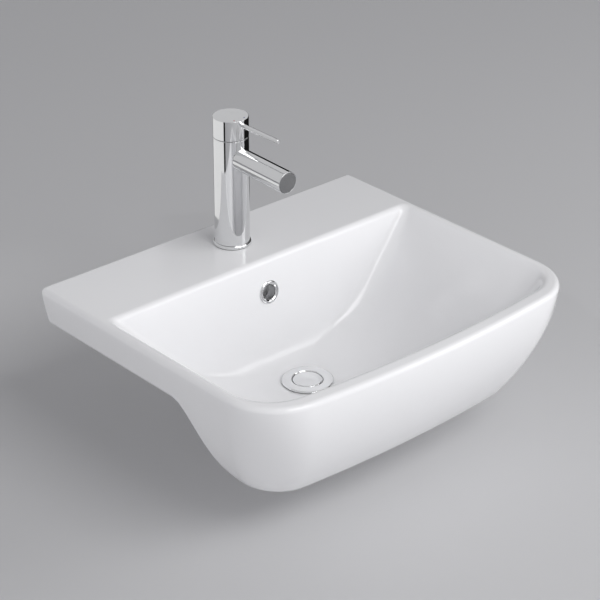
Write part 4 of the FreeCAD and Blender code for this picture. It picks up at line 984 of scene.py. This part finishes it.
def moulded(name, shade, roughness, grain=900.0, depth=0.25):
    """Moulded rubber, plastic or ceramic with a fine matt grain."""
    material, tree, shader = new_finish(name, roughness)
    noise = pattern(tree, "TexNoise", Scale=grain, Detail=2.0)["Fac"]
    # base colour with painted shade in the hollows and lighter rubbed edges
    worn(tree, shader, mixed(tree, spread(tree, noise, 0.3, 0.7), tint(shade), tint(shade, 0.9)),
         tint(shade, 0.7), tint(shade, 1.25, 0.01), (110.0, 0.35, 0.3))
    tree.links.new(spread(tree, noise, 0.3, 0.7, roughness - 0.05, roughness + 0.08),
                   shader.inputs["Roughness"])
    bumped(tree, shader, noise, depth, 0.00006)
    return material


RESIN = (0.0, 1.0, 1.5, (0.12, 0.3), (160.0, 0.4, 0.3))
# How each finish is built, and the values for it
FINISHES = {
    "glaze": (glaze,),
    "chrome": (filmed, "chrome", 1.0, 1.0, 0.9, (0.045, 0.16), (60.0, 0.35, 0.25), (35.0, 0.05)),
    "satin_chrome": (filmed, "chrome", 1.0, 0.42, 0.38, (0.24, 0.34), (90.0, 0.4, 0.4)),
    "brass": (turned_brass,),
    "zinc_steel": (zinc_plate,),
    "black_rubber": (moulded, "rubber", 0.62),
    "foam_rubber": (moulded, "foam", 0.85, 1600.0, 0.9),
    "white_plastic": (moulded, "white_plastic", 0.42),
    "dark_plastic": (moulded, "dark_plastic", 0.45),
    "disc_ceramic": (moulded, "ceramic", 0.25, 1400.0, 0.08),
    "hot_resin": (filmed, "hot", *RESIN),
    "cold_resin": (filmed, "cold", *RESIN),
}
# Slots that take a finish of another name
SLOT_FINISH = {"chrome_tap": "chrome", "chrome_trim": "chrome", "steel": "zinc_steel",
               "rubber": "black_rubber", "foam": "foam_rubber", "hot_mark": "hot_resin",
               "cartridge_plastic": "white_plastic", "insert_plastic": "white_plastic",
               "carrier_plastic": "dark_plastic", "cold_mark": "cold_resin"}


def finish(slot):
    """The material of a slot or finish, built once."""
    name = SLOT_FINISH.get(slot, slot)
    build, *values = FINISHES[name]
    return bpy.data.materials.get(name) or build(name, *values)


# Overflow trim and waste
def cut_thread(points, centre, radius, low, high, pitch, depth):
    """Press a screw thread, tapered at both ends, into the points on a bar's outside."""
    lead = 1.2 * pitch
    for point in points:
        away = Vector((point.x - centre[0], point.y - centre[1]))
        if abs(away.length - radius) > 0.02 * MM or not low <= point.z <= high:
            continue
        phase = (point.z / pitch - math.atan2(away.y, away.x) / (2 * math.pi)) % 1.0
        groove = min(max(1.25 * (1 - abs(2 * phase - 1)) - 0.12, 0.0), 1.0)
        near_end = min(point.z - low, high - point.z) / lead
        share = groove if near_end >= 1 else max(groove, 1 - near_end)
        scale = (radius - depth * share) / radius
        point.x, point.y = centre[0] + away.x * scale, centre[1] + away.y * scale
    return points


def thread_rows(radius, low, high, pitch):
    """Profile points close enough together to carry a thread, from low to high."""
    count = int((high - low) / pitch * 6)
    return [(radius, low + (high - low) * step / count) for step in range(count + 1)]


def slope_frame():
    """Middle of the overflow on the bowl's back wall, and the direction square to that wall."""
    lean = math.radians(BACK_WALL[0])
    rim, bowl = bpy.context.scene.basin_clay.rim_height, bpy.context.scene.basin_bowl
    return (Vector((0, overflow_y(), rim - bowl.overflow_drop)),
            Vector((0, -math.cos(lean), math.sin(lean))))


class BASIN_OT_overflow(bpy.types.Operator):
    """Build the overflow's trim ring"""
    bl_idname = "basin.overflow"
    bl_label = "Overflow ring"

    def execute(self, context):
        sizes = context.scene.basin_waste
        middle, out = slope_frame()
        bore, sleeve, ring, lip = (sizes.overflow_bore, sizes.overflow_sleeve,
                                   sizes.overflow_ring, sizes.overflow_lip)
        tail = -sizes.overflow_tail
        stand_in(turned("overflow_trim", [
            (bore, tail), (sleeve - 0.3 * MM, tail, 0.1 * MM), (sleeve, tail + 0.4 * MM, 0.2 * MM),
            (sleeve, 0.0), (ring, 0.05 * MM, 0.1 * MM), (ring, 0.5 * lip, 0.9 * MM),
            (ring - 0.6 * lip, lip, 1.6 * MM), (bore + 0.75 * lip, lip, 1.4 * MM),
            (bore, 0.45 * lip, 0.9 * MM)], middle, out, closed=True, steps=7, slot="chrome_trim"),
            "overflow_ring")
        return {"FINISHED"}


def waste_top():
    """Middle of the flange's top."""
    return Vector((0, -bpy.context.scene.basin_bowl.waste_back, TAIL_HIGH[2]))


class BASIN_OT_waste(bpy.types.Operator):
    """Build the flange with its slotted, threaded tail, and the click plug"""
    bl_idname = "basin.waste"
    bl_label = "Waste and plug"

    def execute(self, context):
        sizes = context.scene.basin_waste
        top = waste_top()
        axis = (0, top.y, 0)
        tail_end = -(TAIL_HIGH[2] - TAIL_LOW[2])
        thin, seat, bore = sizes.flange_thickness, sizes.seat, sizes.tail_bore
        flange, shoulder = sizes.flange, sizes.shoulder
        rows = thread_rows(sizes.tail, tail_end, -sizes.thread_start, sizes.pitch)
        corners = [(bore, tail_end)] + rows + [
            (sizes.tail, -sizes.shoulder_depth), (shoulder, -sizes.shoulder_depth, 0.3 * MM),
            (shoulder, -thin), (flange, -thin, 0.3 * MM),
            (flange, -0.55 * thin, 0.5 * MM), (flange - 1.1 * MM, -0.1 * thin, 1.6 * MM),
            (flange - 4.0 * MM, 0.0, 5.0 * MM), (seat + 0.9 * MM, 0.0, 0.7 * MM),
            (seat, -0.9 * MM, 0.7 * MM), (seat, -sizes.seat_depth, 0.4 * MM),
            (bore + 0.4 * MM, -sizes.seat_depth, 0.3 * MM), (bore, -sizes.seat_depth - 0.5 * MM)]
        points, faces = lathe(softened(corners, True, 4), top, closed=True)
        cut_thread(points, top, sizes.tail, TAIL_LOW[2], top.z - sizes.thread_start, sizes.pitch,
                   sizes.thread_depth)
        body = new_piece("waste_body", points, faces, "chrome_trim")
        half, slot_low = sizes.slot_width / 2, top.z - sizes.slot_top - sizes.slot_height
        combine(body, [slab_shape((-flange, top.y - half, slot_low),
                                  (flange, top.y + half, slot_low + sizes.slot_height))],
                "DIFFERENCE")
        half, reach = sizes.bar_width / 2, bore + 1.0 * MM
        low, high = top.z - sizes.bar_top - sizes.bar_height, top.z - sizes.bar_top
        boss, edge = sizes.bar_boss, 0.5 * MM
        combine(body, [
            slab_shape((-half, top.y - reach, low), (half, top.y + reach, high)),
            lathe_shape([(0, low), (boss - edge, low), (boss, low + edge), (boss, high - edge),
                         (boss - edge, high), (0, high)], axis)], "UNION")
        combine(body, [rod_shape(sizes.bar_bore, low - 0.01, high + 0.01, axis)], "DIFFERENCE")
        weigh(body)
        stand_in(body, "waste_flange")

        plug, under, crown = sizes.plug, -sizes.plug_thickness, sizes.plug_crown
        stand_in(turned("plug_cap", [
            (0, under), (plug - 1.2 * MM, under, 0.4 * MM), (plug, under + 0.9 * MM, 0.4 * MM),
            (plug, -0.9 * MM, 0.6 * MM), (plug - 0.9 * MM, -0.15 * MM, 1.4 * MM),
            (0.72 * plug, 0.5 * crown, 9 * MM), (0.36 * plug, 0.88 * crown, 20 * MM), (0, crown)],
            top, steps=6, slot="chrome_trim"), "waste_plug", "plug")
        return {"FINISHED"}


def hexagon_nut(name, corner, low, high, centre, bore):
    """A brass nut with chamfered corners and a chamfered bore."""
    blank = new_piece(name, *lathe([(0, low), (corner, low), (corner, high), (0, high)], centre,
                                   segments=6, turn=math.pi / 6), "brass")
    flat = corner * math.cos(math.pi / 6)
    fall = (corner - flat) * NUT_SLOPE + 0.9 * MM
    flat, out = flat - 0.3 * MM, corner + 1 * MM
    combine(blank, [lathe_shape([
        (0, low), (flat, low), (out, low + fall), (out, high - fall), (flat, high), (0, high)],
        centre, segments=72)], "INTERSECT")
    lead = 0.7 * MM
    mouth = bore + lead + MM
    combine(blank, [lathe_shape([
        (0, low - MM), (mouth, low - MM), (bore, low + lead), (bore, high - lead),
        (mouth, high + MM), (0, high + MM)], centre, segments=72)], "DIFFERENCE", FINE_SHARP)
    weigh(blank)
    return blank


class BASIN_OT_waste_nut(bpy.types.Operator):
    """Build the washers and the nut that clamp the waste"""
    bl_idname = "basin.waste_nut"
    bl_label = "Waste nut and washers"

    def execute(self, context):
        sizes, centre = context.scene.basin_waste, waste_top()
        centre.z = 0
        bore = sizes.tail + 0.1 * MM
        low, high, wide, _ = upright_solid("waste_lower_washer")
        stand_in(turned("lower_washer", [
            (bore, low), (wide, low, 0.6 * MM), (wide, low + 2 * MM, 0.8 * MM),
            (wide - 4 * MM, high, 1.0 * MM), (bore, high, 0.4 * MM)], centre,
            closed=True, slot="rubber"), "waste_lower_washer")
        low, high, wide, _ = upright_solid("waste_slip_washer")
        stand_in(turned("slip_washer", [
            (bore, low), (wide, low, 0.3 * MM), (wide, high, 0.3 * MM), (bore, high)],
            centre, closed=True, slot="insert_plastic"), "waste_slip_washer")
        stand_in(hexagon_nut("clamp_nut", sizes.nut, NUT_LOW[2], NUT_HIGH[2], centre, bore),
                 "waste_backnut")
        return {"FINISHED"}


# Tap
def true_round(piece, rods):
    """Exact normals on the faces that lie on round bars (origin, axis, radius)."""
    mesh = piece.data
    normals = [Vector(corner.vector) for corner in mesh.corner_normals]
    for face in mesh.polygons:
        for origin, axis, radius in rods:
            spokes = {}
            for index in face.loop_indices:
                offset = mesh.vertices[mesh.loops[index].vertex_index].co - origin
                spokes[index] = offset - axis * offset.dot(axis)
            if any(abs(spoke.length - radius) > 0.03 * MM for spoke in spokes.values()):
                continue
            if abs(face.normal.dot(axis)) > 0.05:
                continue
            for index, spoke in spokes.items():
                sign = 1 if spoke.dot(face.normal) > 0 else -1
                normals[index] = spoke.normalized() * sign
    mesh.normals_split_custom_set(normals)


def tap_foot():
    """The tap's axis at worktop level."""
    return Vector((0, -bpy.context.scene.basin_bowl.tap_back, 0))


def spout_line():
    """Start of the spout's axis in the middle of the column, and its direction."""
    tap = bpy.context.scene.basin_tap
    return (tap_foot() + Vector((0, 0, tap.spout_height)),
            Vector((0, -math.cos(tap.spout_fall), -math.sin(tap.spout_fall))))


def ball_arc(radius, wide, narrow, steps):
    """Profile points on a ball about the tilting centre, from a wide ring to a narrow one."""
    tilt = bpy.context.scene.basin_tap.tilt
    steep, flat = math.asin(wide / radius), math.asin(narrow / radius)
    angles = [steep + (flat - steep) * step / steps for step in range(steps + 1)]
    return [(radius * math.sin(angle), tilt + radius * math.cos(angle)) for angle in angles]


class BASIN_OT_tap_body(bpy.types.Operator):
    """Build the column and spout, with the chamber, water ways and holes in them"""
    bl_idname = "basin.tap_body"
    bl_label = "Tap body"

    def execute(self, context):
        tap, clay, foot = context.scene.basin_tap, context.scene.basin_clay, tap_foot()
        ring_top, spigot_low = RING_HIGH[2], clay.rim_height - tap.spigot_depth
        edge, lip_edge = 0.35 * MM, 0.25 * MM
        points, faces = lathe(softened([
            (0, spigot_low), (tap.spigot, spigot_low, edge), (tap.spigot, ring_top),
            (tap.radius, ring_top, edge), (tap.radius, tap.seam, edge),
            (tap.chamber, tap.seam), (tap.chamber, tap.seam - tap.chamber_depth),
            (0, tap.seam - tap.chamber_depth)], steps=4), foot, segments=144)
        body = new_piece("tap_column", points, faces, "chrome_tap")
        start, along = spout_line()
        inner, end, wide = tap.radius * 0.9, tap.spout_reach, tap.spout_radius
        combine(body, [lathe_shape(softened([
            (0, inner), (wide, inner), (wide, end, lip_edge), (wide - tap.lip, end, lip_edge),
            (wide - tap.lip, end - tap.end_recess), (0, end - tap.end_recess)], steps=4),
            start, along, 112)], "UNION")
        holes = [
            rod_shape(tap.spout_bore, tap.chamber - 3 * MM, end - tap.aerator_inset + 6 * MM,
                      start, along),
            rod_shape(tap.aerator + FIT, -wide - 5 * MM, 0,
                      start + along * (end - tap.aerator_inset)),
            rod_shape(tap.stud + 0.02 * MM, spigot_low - MM, spigot_low + tap.stud_grip,
                      foot + Vector((0, -tap.stud_forward, 0)))]
        for side in (-1, 1):
            holes.append(rod_shape(tap.inlet, spigot_low - MM, spigot_low + tap.inlet_depth,
                                   foot + Vector((side * tap.inlet_spread, tap.inlet_back, 0))))
        combine(body, holes, "DIFFERENCE", FINE_SHARP)
        true_round(body, [(foot, UP, tap.radius), (start, along, wide), (foot, UP, tap.spigot),
                          (foot, UP, tap.chamber)])
        stand_in(body, "tap_body")
        return {"FINISHED"}


class BASIN_OT_tap_trim(bpy.types.Operator):
    """Build the base ring, end disc, aerator and domed ring"""
    bl_idname = "basin.tap_trim"
    bl_label = "Tap trim"

    def execute(self, context):
        tap, foot = context.scene.basin_tap, tap_foot()
        low, high = RING_LOW[2], RING_HIGH[2]
        wide = (RING_HIGH[0] - RING_LOW[0]) / 2
        bore = tap.spigot + 0.1 * MM
        stand_in(turned("base_ring", [
            (bore, low), (wide, low, 0.3 * MM), (wide, low + 0.7 * (high - low), 0.5 * MM),
            (wide - 0.7 * MM, high - 0.25 * MM, 0.5 * MM),
            (tap.radius - 0.1 * MM, high - 0.25 * MM),
            (tap.radius - 0.5 * MM, high), (bore, high)], foot, closed=True, slot="chrome_tap"),
            "tap_base_ring")
        start, along = spout_line()
        disc = tap.spout_radius - tap.lip - 0.1 * MM
        seat = tap.spout_reach - tap.end_recess + 0.4 * MM
        face = seat + tap.end_disc
        stand_in(turned("end_disc", [
            (0, seat - 0.2 * MM), (disc, seat - 0.2 * MM), (disc, face - 0.25 * MM, 0.15 * MM),
            (disc - 0.25 * MM, face, 0.15 * MM), (0, face)], start, along, slot="chrome_tap",
            material=finish("satin_chrome")), "spout_end_cap")

        low, high, wide, centre = upright_solid("aerator_housing")
        hole = tap.aerator_bore
        stand_in(turned("aerator_ring", [
            (hole - 1.2 * MM, low + 0.3 * MM, 0.2 * MM), (hole - 0.9 * MM, low, 0.2 * MM),
            (wide - 0.5 * MM, low, 0.3 * MM), (wide, low + 0.5 * MM, 0.3 * MM), (wide, high),
            (hole, high), (hole, low + 1.2 * MM), (hole - 1.2 * MM, low + 1.2 * MM)],
            centre, closed=True, slot="chrome_trim"), "aerator_housing")

        side = tap.radius - tap.cap_gap
        ball = math.hypot(tap.radius, tap.seam - tap.tilt) - tap.cap_gap
        dome = [(tap.dome_bore, tap.seam), (side, tap.seam),
                *ball_arc(ball, side, tap.dome_bore, 16)]
        points, faces = lathe(dome, foot, closed=True)
        cover = new_piece("domed_ring", points, faces, "chrome_tap")
        weigh(cover)
        stand_in(cover, "dome_cover")
        return {"FINISHED"}


class BASIN_OT_handle(bpy.types.Operator):
    """Build the cap, its lever, set screw, hot mark and cold mark"""
    bl_idname = "basin.handle"
    bl_label = "Handle"

    def execute(self, context):
        tap, foot = context.scene.basin_tap, tap_foot()
        ball = math.hypot(tap.radius, tap.seam - tap.tilt)
        socket = tap.stem + FIT
        profile = [(0, tap.top), (tap.radius - tap.cap_edge, tap.top, 0.3 * MM),
                   (tap.radius, tap.top - tap.cap_edge, 0.3 * MM),
                   (tap.radius, tap.seam + 0.95 * MM, 0.25 * MM),
                   *ball_arc(ball, tap.radius - 0.6 * MM, socket, 20),
                   (socket, tap.seam + tap.socket_depth), (0, tap.seam + tap.socket_depth)]
        points, faces = lathe(softened(profile, steps=4), foot, segments=144)
        cap = new_piece("lever_cap", points, faces, "chrome_tap")
        lever_from = foot + Vector((0, -tap.radius + tap.lever_grip, tap.lever_height))
        grub_at = foot + Vector((0, 0, tap.seam + tap.grub_height))
        marks = {}
        for name in ("hot_mark", "cold_mark"):
            low, _, _, centre = upright_solid(name)
            marks[name] = centre + Vector((0, 0, low))
        combine(cap, [
            rod_shape(tap.lever_radius + FIT, 0, 0.03, lever_from, FORWARD, 48),
            rod_shape(tap.grub + FIT, -tap.radius - MM, 0, grub_at, FORWARD, 48),
            *[rod_shape(tap.mark + FIT, 0, 0.01, at, UP, 32) for at in marks.values()]],
            "DIFFERENCE", FINE_SHARP)
        true_round(cap, [(foot, UP, tap.radius)])
        stand_in(cap, "handle_cap", "handle")

        reach = tap.lever_reach - tap.radius + tap.lever_grip
        stand_in(turned("lever_rod", [
            (0, 0), (tap.lever_radius, 0), (tap.lever_radius, reach - 0.6 * MM, 0.4 * MM),
            (tap.lever_radius - 0.6 * MM, reach, 0.4 * MM), (0, reach)], lever_from, FORWARD,
            slot="chrome_tap"), "handle_lever", "handle")

        low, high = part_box("grub_screw")
        back_at, long = Vector((0, high.y, grub_at.z)), high.y - low.y
        screw = turned("set_screw", [
            (0, 0), (tap.grub - 0.5 * MM, 0, 0.1 * MM), (tap.grub, 0.5 * MM, 0.1 * MM),
            (tap.grub, long - 0.9 * MM, 0.1 * MM), (tap.grub - 0.9 * MM, long), (0, long)],
            back_at, FORWARD, slot="steel")
        screw.modifiers.clear()
        combine(screw, [lathe_shape([
            (0, -MM), (tap.grub_key, -MM), (tap.grub_key, 2.6 * MM), (0, 3.4 * MM)],
            back_at, FORWARD, 6)], "DIFFERENCE", FINE_SHARP)
        weigh(screw)
        stand_in(screw, "grub_screw", "handle")

        for name, place in marks.items():
            stand_in(turned(name.replace("mark", "dot"), [
                (0, 0), (tap.mark, 0), (tap.mark, tap.mark_depth - 0.1 * MM, 0.1 * MM),
                (tap.mark - 0.1 * MM, tap.mark_depth - 0.02 * MM, 0.1 * MM),
                (0, tap.mark_depth)], place, UP, slot=name), name, "handle")
        return {"FINISHED"}


class BASIN_OT_fixings(bpy.types.Operator):
    """Build the threaded stud and the nut under the deck"""
    bl_idname = "basin.fixings"
    bl_label = "Tap fixings"

    def execute(self, context):
        tap = context.scene.basin_tap
        low, high, _, centre = upright_solid("fixing_stud")
        profile = [(0, low)] + thread_rows(tap.stud, low, high, tap.stud_pitch) + [(0, high)]
        points, faces = lathe(profile, centre, segments=40)
        cut_thread(points, centre, tap.stud, low, high, tap.stud_pitch, STUD_THREAD)
        stand_in(new_piece("threaded_stud", points, faces, "steel"), "fixing_stud")
        low, high, corner, _ = upright_solid("fixing_nut")
        stand_in(hexagon_nut("long_nut", corner, low, high, centre, tap.stud + 0.05 * MM),
                 "fixing_nut")
        return {"FINISHED"}


# Nodes that keep the shape of the solids
CARRIED = {
    "brass": ("click_housing", "cartridge_stem", "cartridge_nut"),
    "steel": ("plug_stem", "click_spring", "stem_pin", "horseshoe_plate"),
    "rubber": ("overflow_grommet", "plug_seal", "tap_base_seal", "aerator_seal", "cartridge_seal",
               "horseshoe_seal"),
    "foam": ("waste_top_seal",),
    "insert_plastic": ("aerator_insert",),
    "cartridge_plastic": ("cartridge_housing",),
    "carrier_plastic": ("cartridge_rotor",),
    "disc_ceramic": ("fixed_disc", "sliding_disc"),
}


class BASIN_OT_carried(bpy.types.Operator):
    """Give the carried over solids their finishes"""
    bl_idname = "basin.carried"
    bl_label = "Inner parts"

    def execute(self, context):
        for slot, names in CARRIED.items():
            for name in names:
                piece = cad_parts[name]
                piece.data.materials.clear()
                piece.data.materials.append(finish(slot))
        return {"FINISHED"}


# Studio
def look_from(location, target, roll=0.0):
    """Placement of a camera or a light that faces a point."""
    back = (Vector(location) - Vector(target)).normalized()
    across = Vector((0, 0, 1)).cross(back).normalized()
    over = back.cross(across)
    turned_across = across * math.cos(roll) + over * math.sin(roll)
    turned_over = over * math.cos(roll) - across * math.sin(roll)
    place = Matrix((turned_across, turned_over, back)).transposed().to_4x4()
    place.translation = Vector(location)
    return place


def area_light(name, location, size, power):
    """A soft rectangular light that faces the basin."""
    light = bpy.data.lights.new(name, "AREA")
    light.shape = "RECTANGLE"
    light.size, light.size_y = size
    light.energy = power
    thing = bpy.data.objects.new(name, light)
    bpy.context.scene.collection.objects.link(thing)
    thing.matrix_world = look_from(location, LIT_POINT)


FLOOR_REACH = 14.0
CARD_REACH, CARD_STEPS, CARD_LIFT = 0.55, 24, 0.001
LIT_POINT = (0, -0.2, 0.03)
LOW_SKY, HIGH_SKY = (0.25, (1.24, 1.24, 1.26, 1)), (0.5, (0.23, 0.23, 0.24, 1))
LIGHTS = (("key", (0.1, -2.0, 1.9), (1.6, 1.2)), ("side", (1.8, -1.9, 1.2), (1.4, 1.4)))
# Name, start and end angle, top and brightness of each card
CARDS = (("flag_right", -38, 62, 0.38, 0.01), ("flag_left", -175, -165, 0.05, 0.01),
         ("reflector_left", 84, 184, 0.05, 0.85))


def studio_world(strength, pale):
    """Soft light from low all around and less from above, with a pale backdrop to see."""
    world = bpy.data.worlds.new("studio")
    bpy.context.scene.world = world
    world.use_nodes = True
    tree = world.node_tree
    surface = tree.nodes["Background"]
    height = node(tree, "SeparateXYZ", [
        ("Vector", node(tree, "TexCoord").outputs["Generated"])]).outputs["Z"]
    ramp = node(tree, "ValToRGB", [("Fac", height)])
    for stop, (place, shade) in zip(ramp.color_ramp.elements, (LOW_SKY, HIGH_SKY)):
        stop.position, stop.color = place, shade
    tree.links.new(ramp.outputs["Color"], surface.inputs["Color"])
    surface.inputs["Strength"].default_value = strength
    backdrop = node(tree, "Background", [("Color", pale + (1.0,)), ("Strength", 1.0)])
    rays = node(tree, "LightPath").outputs
    seen = maths(tree, "MAXIMUM", rays["Is Camera Ray"], rays["Is Glossy Ray"],
                 rays["Is Transmission Ray"])
    blend_shaders(tree, seen, surface, backdrop, tree.nodes["World Output"])


def blend_shaders(tree, factor, first, second, output):
    """Send a blend of two shaders to an output's surface."""
    choice = node(tree, "MixShader", [("Fac", factor)])
    tree.links.new(first.outputs[0], choice.inputs[1])
    tree.links.new(second.outputs[0], choice.inputs[2])
    tree.links.new(choice.outputs[0], output.inputs["Surface"])


def studio_card(name, start, end, top, shade):
    """A card bent around the tap that only shows in reflections."""
    points, count = [], CARD_STEPS + 1
    for level in (CAD_BOX[0][2] + CARD_LIFT, top):
        for step in range(count):
            angle = math.radians(start + (end - start) * step / CARD_STEPS)
            points.append(tap_foot() + Vector((CARD_REACH * math.cos(angle),
                                               CARD_REACH * math.sin(angle), level)))
    faces = [(index, index + 1, index + 1 + count, index + count) for index in range(CARD_STEPS)]
    material = new_finish(name, 0.9, Specular_IOR_Level=0.0, Emission_Strength=1.0,
                          Base_Color=(0, 0, 0, 1), Emission_Color=(shade, shade, shade, 1))[0]
    card = new_piece(name, points, faces, material=material)
    card.visible_camera = card.visible_diffuse = card.visible_shadow = False


class BASIN_OT_studio(bpy.types.Operator):
    """Build the floor, lights and camera"""
    bl_idname = "basin.studio"
    bl_label = "Studio"

    def execute(self, context):
        studio = context.scene.basin_studio
        shade = tuple(studio.floor)
        material, tree, shader = new_finish("studio_floor", 0.7)
        noise = pattern(tree, "TexNoise", Scale=2.0)["Fac"]
        tree.links.new(mixed(tree, noise, shade + (1.0,),
                             tuple(part * 0.985 for part in shade) + (1.0,)),
                       shader.inputs["Base Color"])
        blend_shaders(tree, node(tree, "NewGeometry").outputs["Backfacing"], shader,
                      node(tree, "BsdfTransparent"), tree.nodes["Material Output"])
        corners = [(x * FLOOR_REACH, y * FLOOR_REACH, CAD_BOX[0][2])
                   for x, y in ((-1, -1), (1, -1), (1, 1), (-1, 1))]
        floor = new_piece("studio_floor", corners, [(0, 1, 2, 3)], material=material)
        studio_world(studio.sky, shade)
        for name, location, size in LIGHTS:
            area_light(name, location, size, getattr(studio, name))
        for card in CARDS:
            studio_card(*card)
        camera = bpy.data.cameras.new("camera")
        camera.lens = studio.lens
        camera.sensor_width = 36.0
        camera.clip_end = 50.0
        holder = bpy.data.objects.new("camera", camera)
        context.scene.collection.objects.link(holder)
        holder.matrix_world = look_from(studio.camera, studio.target, studio.roll)
        context.scene.camera = holder
        context.scene.view_settings.view_transform = "Standard"
        return {"FINISHED"}


# Panel and running
OPERATORS = (BASIN_OT_clay, BASIN_OT_overflow, BASIN_OT_waste, BASIN_OT_waste_nut,
             BASIN_OT_tap_body, BASIN_OT_tap_trim, BASIN_OT_handle, BASIN_OT_fixings,
             BASIN_OT_carried, BASIN_OT_studio)


class BASIN_PT_panel(bpy.types.Panel):
    """Sizes, colours and build steps in the sidebar"""
    bl_idname = "BASIN_PT_panel"
    bl_label = "Semi recessed basin"
    bl_space_type = "VIEW_3D"
    bl_region_type = "UI"
    bl_category = "Basin"

    def draw(self, context):
        for operator in OPERATORS:
            self.layout.operator(operator.bl_idname)
        for attribute, group in GROUPS.items():
            box = self.layout.box()
            box.label(text=group.__doc__)
            for name in group.__annotations__:
                box.prop(getattr(context.scene, attribute), name)


def register():
    for group in (*GROUPS.values(), *OPERATORS, BASIN_PT_panel):
        bpy.utils.register_class(group)
    for attribute, group in GROUPS.items():
        setattr(bpy.types.Scene, attribute, PointerProperty(type=group))


def unregister():
    for attribute in GROUPS:
        delattr(bpy.types.Scene, attribute)
    for group in (BASIN_PT_panel, *reversed(OPERATORS), *reversed(GROUPS.values())):
        bpy.utils.unregister_class(group)


def main():
    """Build every piece and the studio."""
    register()
    for operator in OPERATORS:
        area, action = operator.bl_idname.split(".")
        getattr(getattr(bpy.ops, area), action)()
    bpy.context.view_layer.update()


if __name__ == "__main__":
    main()
